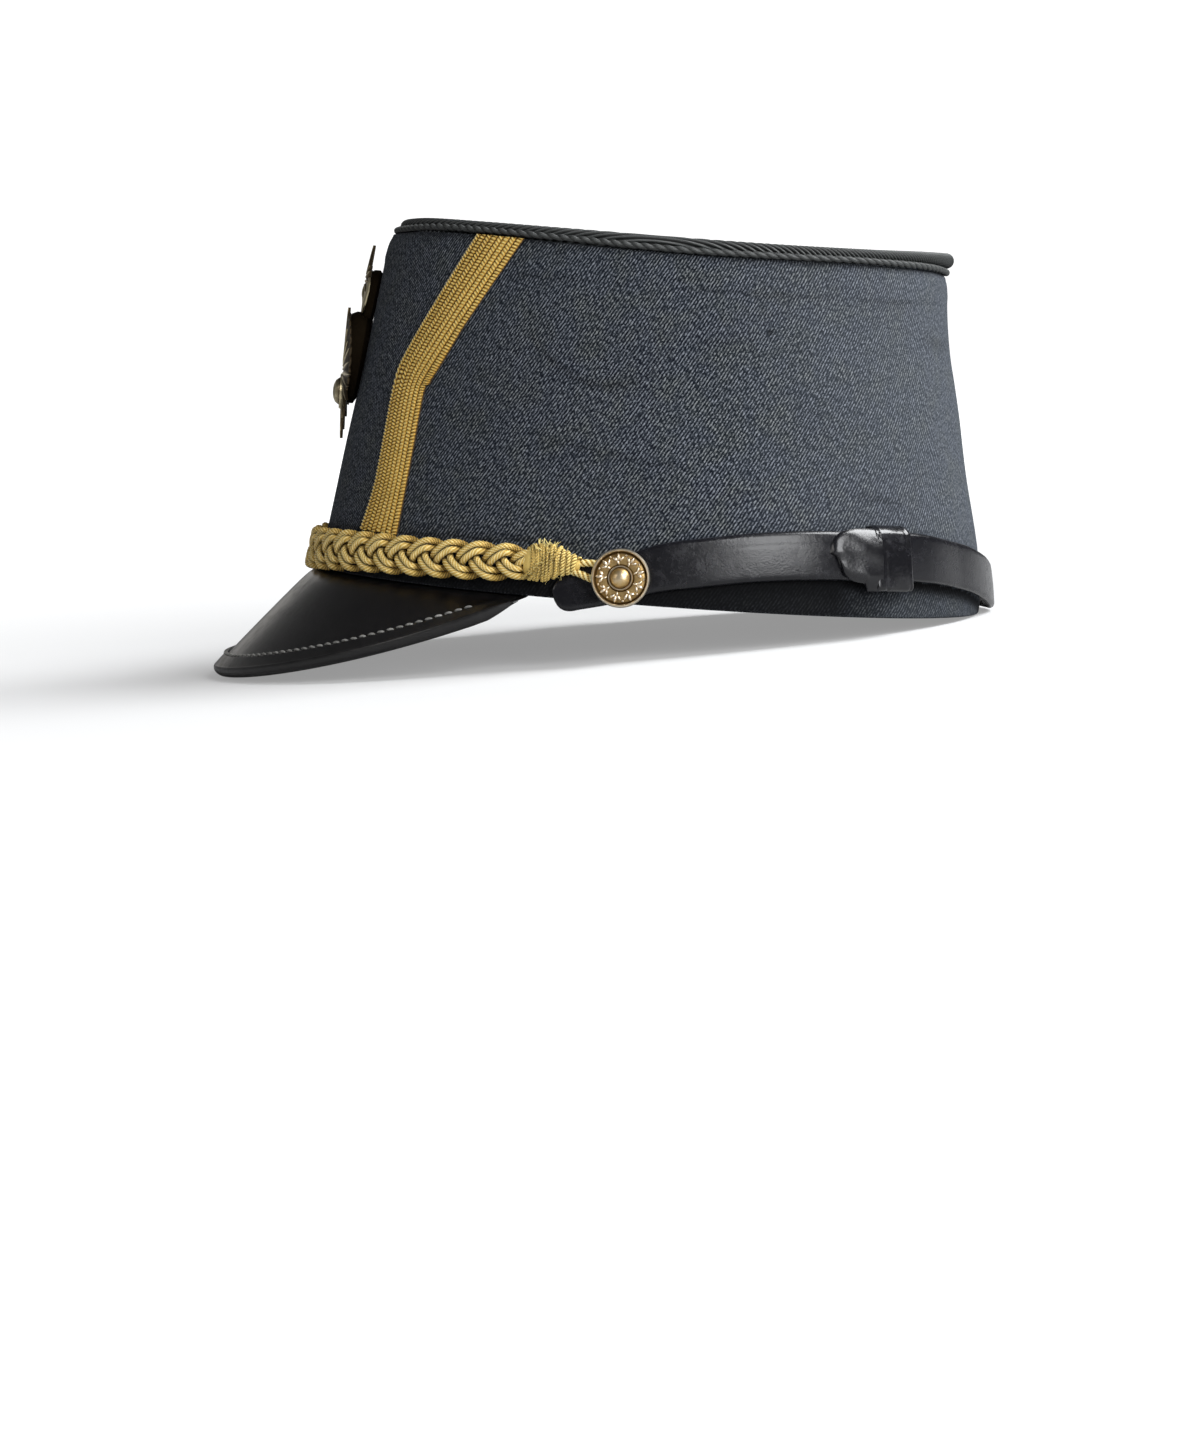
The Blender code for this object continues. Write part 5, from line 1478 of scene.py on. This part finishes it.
def buildButton(name, node, side):
    c = button
    middle, _, up, out = crownFrame(buttonAngle * side, buttonLevel)
    along = np.cross(up, out)
    base = cap["gap"] + strapThick + cap["gap"] + buttonCord["thick"] + cap["gap"]
    radius = c["across"] / 2

    def spot(x, y, z):
        return middle + along * x[..., None] + up * y[..., None] + out * (base + z)[..., None]

    turn = fullTurn(c["sides"])
    rows, relief = [], []
    for r, h, wearAndPaintedLight in c["profile"]:
        z = h * c["thick"] if h > -0.4 else cap["gap"] - base
        rows.append(spot(r * radius * np.cos(turn), r * radius * np.sin(turn), z + 0 * turn))
        relief.append(np.full(len(turn), wearAndPaintedLight))
    shape = newShape()
    points = np.stack(rows)
    addGrid(shape, points, distances(points[:, 0]), np.linspace(0, 55, c["sides"] + 1),
            relief=np.stack(relief))

    def leaf(swing, place, length, width, rise, twist):
        # small pointed dome that lies on the sunken ring
        u, v = np.meshgrid(np.linspace(-1, 1, 11), np.linspace(0, np.pi, 9), indexing="ij")
        bodyWidth = width * np.sqrt(np.clip(1 - np.abs(u) ** 1.6, 0.003, 1))
        x, y = u * length, bodyWidth * np.cos(v)
        z = 0.30 * c["thick"] + rise * np.sin(v) * (1 - 0.5 * u * u)
        a = x * math.cos(twist) - y * math.sin(twist) + place
        b = x * math.sin(twist) + y * math.cos(twist)
        px = a * math.cos(swing) - b * math.sin(swing)
        py = a * math.sin(swing) + b * math.cos(swing)
        closed = np.concatenate((spot(px, py, z), spot(px[:, 1:-1][:, ::-1], py[:, 1:-1][:, ::-1],
                                                       0 * z[:, 1:-1] + 0.16 * c["thick"])), 1)
        # leaf tops paler: painted highlight
        wearAndPaintedLight = np.concatenate((0.30 + 0.75 * np.sin(v), 0 * v[:, 1:-1]), 1)
        addGrid(shape, closed, np.linspace(0, 3, 11), np.linspace(0, 4, 17), relief=wearAndPaintedLight)

    for k in range(c["petals"]):
        swing = 2 * math.pi * (k + 0.5) / c["petals"]
        leaf(swing, 0.72 * radius, 1.10, 0.62, 0.85, 0.0)
        leaf(swing + 0.17, 0.66 * radius, 0.95, 0.55, 0.75, 0.75)
        leaf(swing - 0.17, 0.66 * radius, 0.95, 0.55, 0.75, -0.75)
        leaf(swing + 0.05, 0.54 * radius, 0.75, 0.42, 0.55, 0.25)
        leaf(swing + math.pi / c["petals"], 0.78 * radius, 0.42, 0.36, 0.55, 1.57)
    finishPiece(name, shape, brassMetal, [node])


buildButton("buttonLeft", "button_left", 1)
buildButton("buttonRight", "button_right", -1)
print("buttons built")


# Badge

badge = {
    "lower": {"across": 40.6, "level": 0.575, "off": 4.4, "lean": 8.5, "rays": 12,
              "boss": 11.0, "bossHeight": 3.0, "bossDrop": 0.14, "bend": 58.0, "disc": 0.72,
              "discRise": 4.0, "fillerRise": 5.0,
              "bottom": 1.0, "beside": 0.90, "long": 0.78, "short": 0.70,
              "filler": (6.5, 14.3), "rim": 0.5, "face": 0.3, "scallop": 0.05},
    "upper": {"across": 22.6, "level": 0.850, "off": 3.6, "lean": 1.0, "rays": 6,
              "boss": 6.05, "bossHeight": 0.7, "bossDrop": 0.14, "bend": 30.0, "disc": 0.66,
              "discRise": -3.5, "fillerRise": -5.0,
              "bottom": 0.60, "beside": 0.60, "long": 0.56, "short": 0.50,
              "filler": (4.0, 8.8), "rim": 1.4, "face": 1.1, "scallop": 0.015},
    "plate": 0.9, "relief": 0.6, "post": 4.0,
}


def buildBadge(name, node, data):
    c = badge
    height = data["level"] * cap["height"]
    middle, along, up, out = crownFrame(0.0, height, data["off"])
    lean = Matrix.Rotation(math.radians(data["lean"]), 3, Vector(along))
    if (lean @ Vector(up)).dot(Vector(out)) * data["lean"] < 0:
        lean = lean.transposed()
    across = np.cross(up, out)
    tall, face = np.array(lean @ Vector(up)), np.array(lean @ Vector(out))
    half = data["across"] / 2

    def spot(x, y, z):  # the plates follow the crown's roundness
        x, y, z = np.broadcast_arrays(*(np.asarray(v, float) for v in (x, y, z)))
        bent = z - x * x / (2 * data["bend"])
        return middle + across * x[..., None] + tall * y[..., None] + face * bent[..., None]

    shape = newShape()
    rays = data["rays"]
    # thin back plate with scalloped edge
    turn = fullTurn(16 * rays)
    edge = half * (data["disc"] - 0.05 + data["scallop"] * np.abs(np.cos(rays * turn)))
    rows, relief = [], []
    # the rim and face values paint light on the plate: pale on the upper plate, dark on the lower
    rim, flat = data["rim"], data["face"]
    for scale, z, wearAndPaintedLight in ((0.02, 0, 0.1), (1, 0, 0.2), (1.01, 0.15, rim), (1, 0.38, rim * 1.2),
                           (0.9, 0.55, flat), (0.5, 0.7, flat), (0.02, 0.75, flat)):
        out = edge * scale
        rows.append(spot(out * np.cos(turn), data["discRise"] + out * np.sin(turn),
                         z * c["plate"] * 1.6 + 0 * turn))
        relief.append(np.full(len(turn), wearAndPaintedLight))
    addGrid(shape, np.stack(rows), np.arange(7) * 2.0, np.linspace(0, 60, len(turn) + 1),
            relief=np.stack(relief))
    # faceted rays, long and short in turn, each with a ridge
    for k in range(2 * rays):
        swing = math.pi * k / rays + math.pi / 2
        kind = {0: 1.0, rays: data["bottom"], rays - 1: data["beside"], rays + 1: data["beside"]}
        reach = half * kind.get(k, data["short"] if k % 2 else data["long"])
        wide = half * math.pi / rays * (0.36 if k % 2 == 0 else 0.28)
        rows, relief = [], []
        for t in np.linspace(0, 1, 12):
            r = half * 0.22 + (reach - half * 0.22) * t
            w = wide * (0.55 + 1.1 * t - 1.6 * t ** 2) if t < 0.95 else wide * 0.06
            w = max(w, wide * 0.05)
            ridge = c["plate"] + c["relief"] * (1 - t) ** 0.7 + 0.12
            section = ((-w, 0.15), (-w, 0.45), (-w * 0.5, ridge * 0.8), (0, ridge),
                       (w * 0.5, ridge * 0.8), (w, 0.45), (w, 0.15))
            x = np.array([r * math.cos(swing) - a * math.sin(swing) for a, _ in section])
            y = np.array([r * math.sin(swing) + a * math.cos(swing) for a, _ in section])
            rows.append(spot(x, y, np.array([b for _, b in section])))
            # painted highlight along each ray's ridge
            relief.append(np.array((0.2, 0.3, 0.6, 1.1, 0.6, 0.3, 0.2)))
        addGrid(shape, np.stack(rows), np.linspace(0, 12, 12), np.arange(8) * 1.0,
                relief=np.stack(relief))
    # boss: a dome in a raised ring, on the plate
    turn = fullTurn(64)
    radius = data["boss"] / 2
    drop = -data["across"] * data["bossDrop"]
    rows, relief = [], []
    # painted highlight on the boss's ring and dome, painted shade in its groove
    for r, z, wearAndPaintedLight in ((1.0, 0.0, 0.3), (1.02, 0.25, 0.9), (0.97, 0.42, 1.1), (0.90, 0.40, 0.7),
                       (0.86, 0.26, 0.2), (0.80, 0.28, 0.2), (0.76, 0.50, 0.7), (0.62, 0.78, 0.9),
                       (0.40, 0.94, 1.0), (0.18, 1.0, 1.1), (0.02, 1.0, 1.1)):
        rows.append(spot(radius * r * np.cos(turn), drop + radius * r * np.sin(turn),
                         0.5 * c["plate"] + z * (data["bossHeight"] + c["relief"]) + 0 * turn))
        relief.append(np.full(64, wearAndPaintedLight))
    points = np.stack(rows)
    addGrid(shape, points, distances(points[:, 0]), np.linspace(0, 30, 65),
            relief=np.stack(relief))
    # post that stands on the cloth
    foot, _, upright, square = crownFrame(0.0, height, cap["gap"])
    sideways = np.cross(upright, square)
    turn = fullTurn(20)
    rows = [foot + (sideways * np.cos(turn)[:, None] + upright * np.sin(turn)[:, None])
            * c["post"] / 2 * wide + square * z
            for wide, z in ((0.05, 0.0), (1, 0.0), (1, 1.6), (0.05, 1.6))]
    addGrid(shape, np.stack(rows), np.arange(4.0), np.linspace(0, 12, 21), relief=0.3)
    # dark filler between the cloth and the plate
    turn = fullTurn(40)
    rows = []
    for wide, share in ((0.02, 0.0), (0.90, 0.0), (1.0, 0.25), (1.0, 0.75), (0.94, 1.0),
                        (0.02, 1.0)):
        x = data["filler"][0] * wide * np.cos(turn)
        y = data["filler"][1] * wide * np.sin(turn) + data["fillerRise"]
        cloth = (foot + sideways * x[:, None] + upright * y[:, None]
                 + square * (-0.22 - x * x / 118)[:, None])
        rows.append(cloth + (spot(x, y, -0.2) - cloth) * share)
    addGrid(shape, np.stack(rows), np.arange(6.0), np.linspace(0, 40, 41), relief=0.0)
    finishPiece(name, shape, badgeMetal, [node], sharp=25)


buildBadge("badgeLower", "badge_lower", badge["lower"])
buildBadge("badgeUpper", "badge_upper", badge["upper"])
print("badge built")
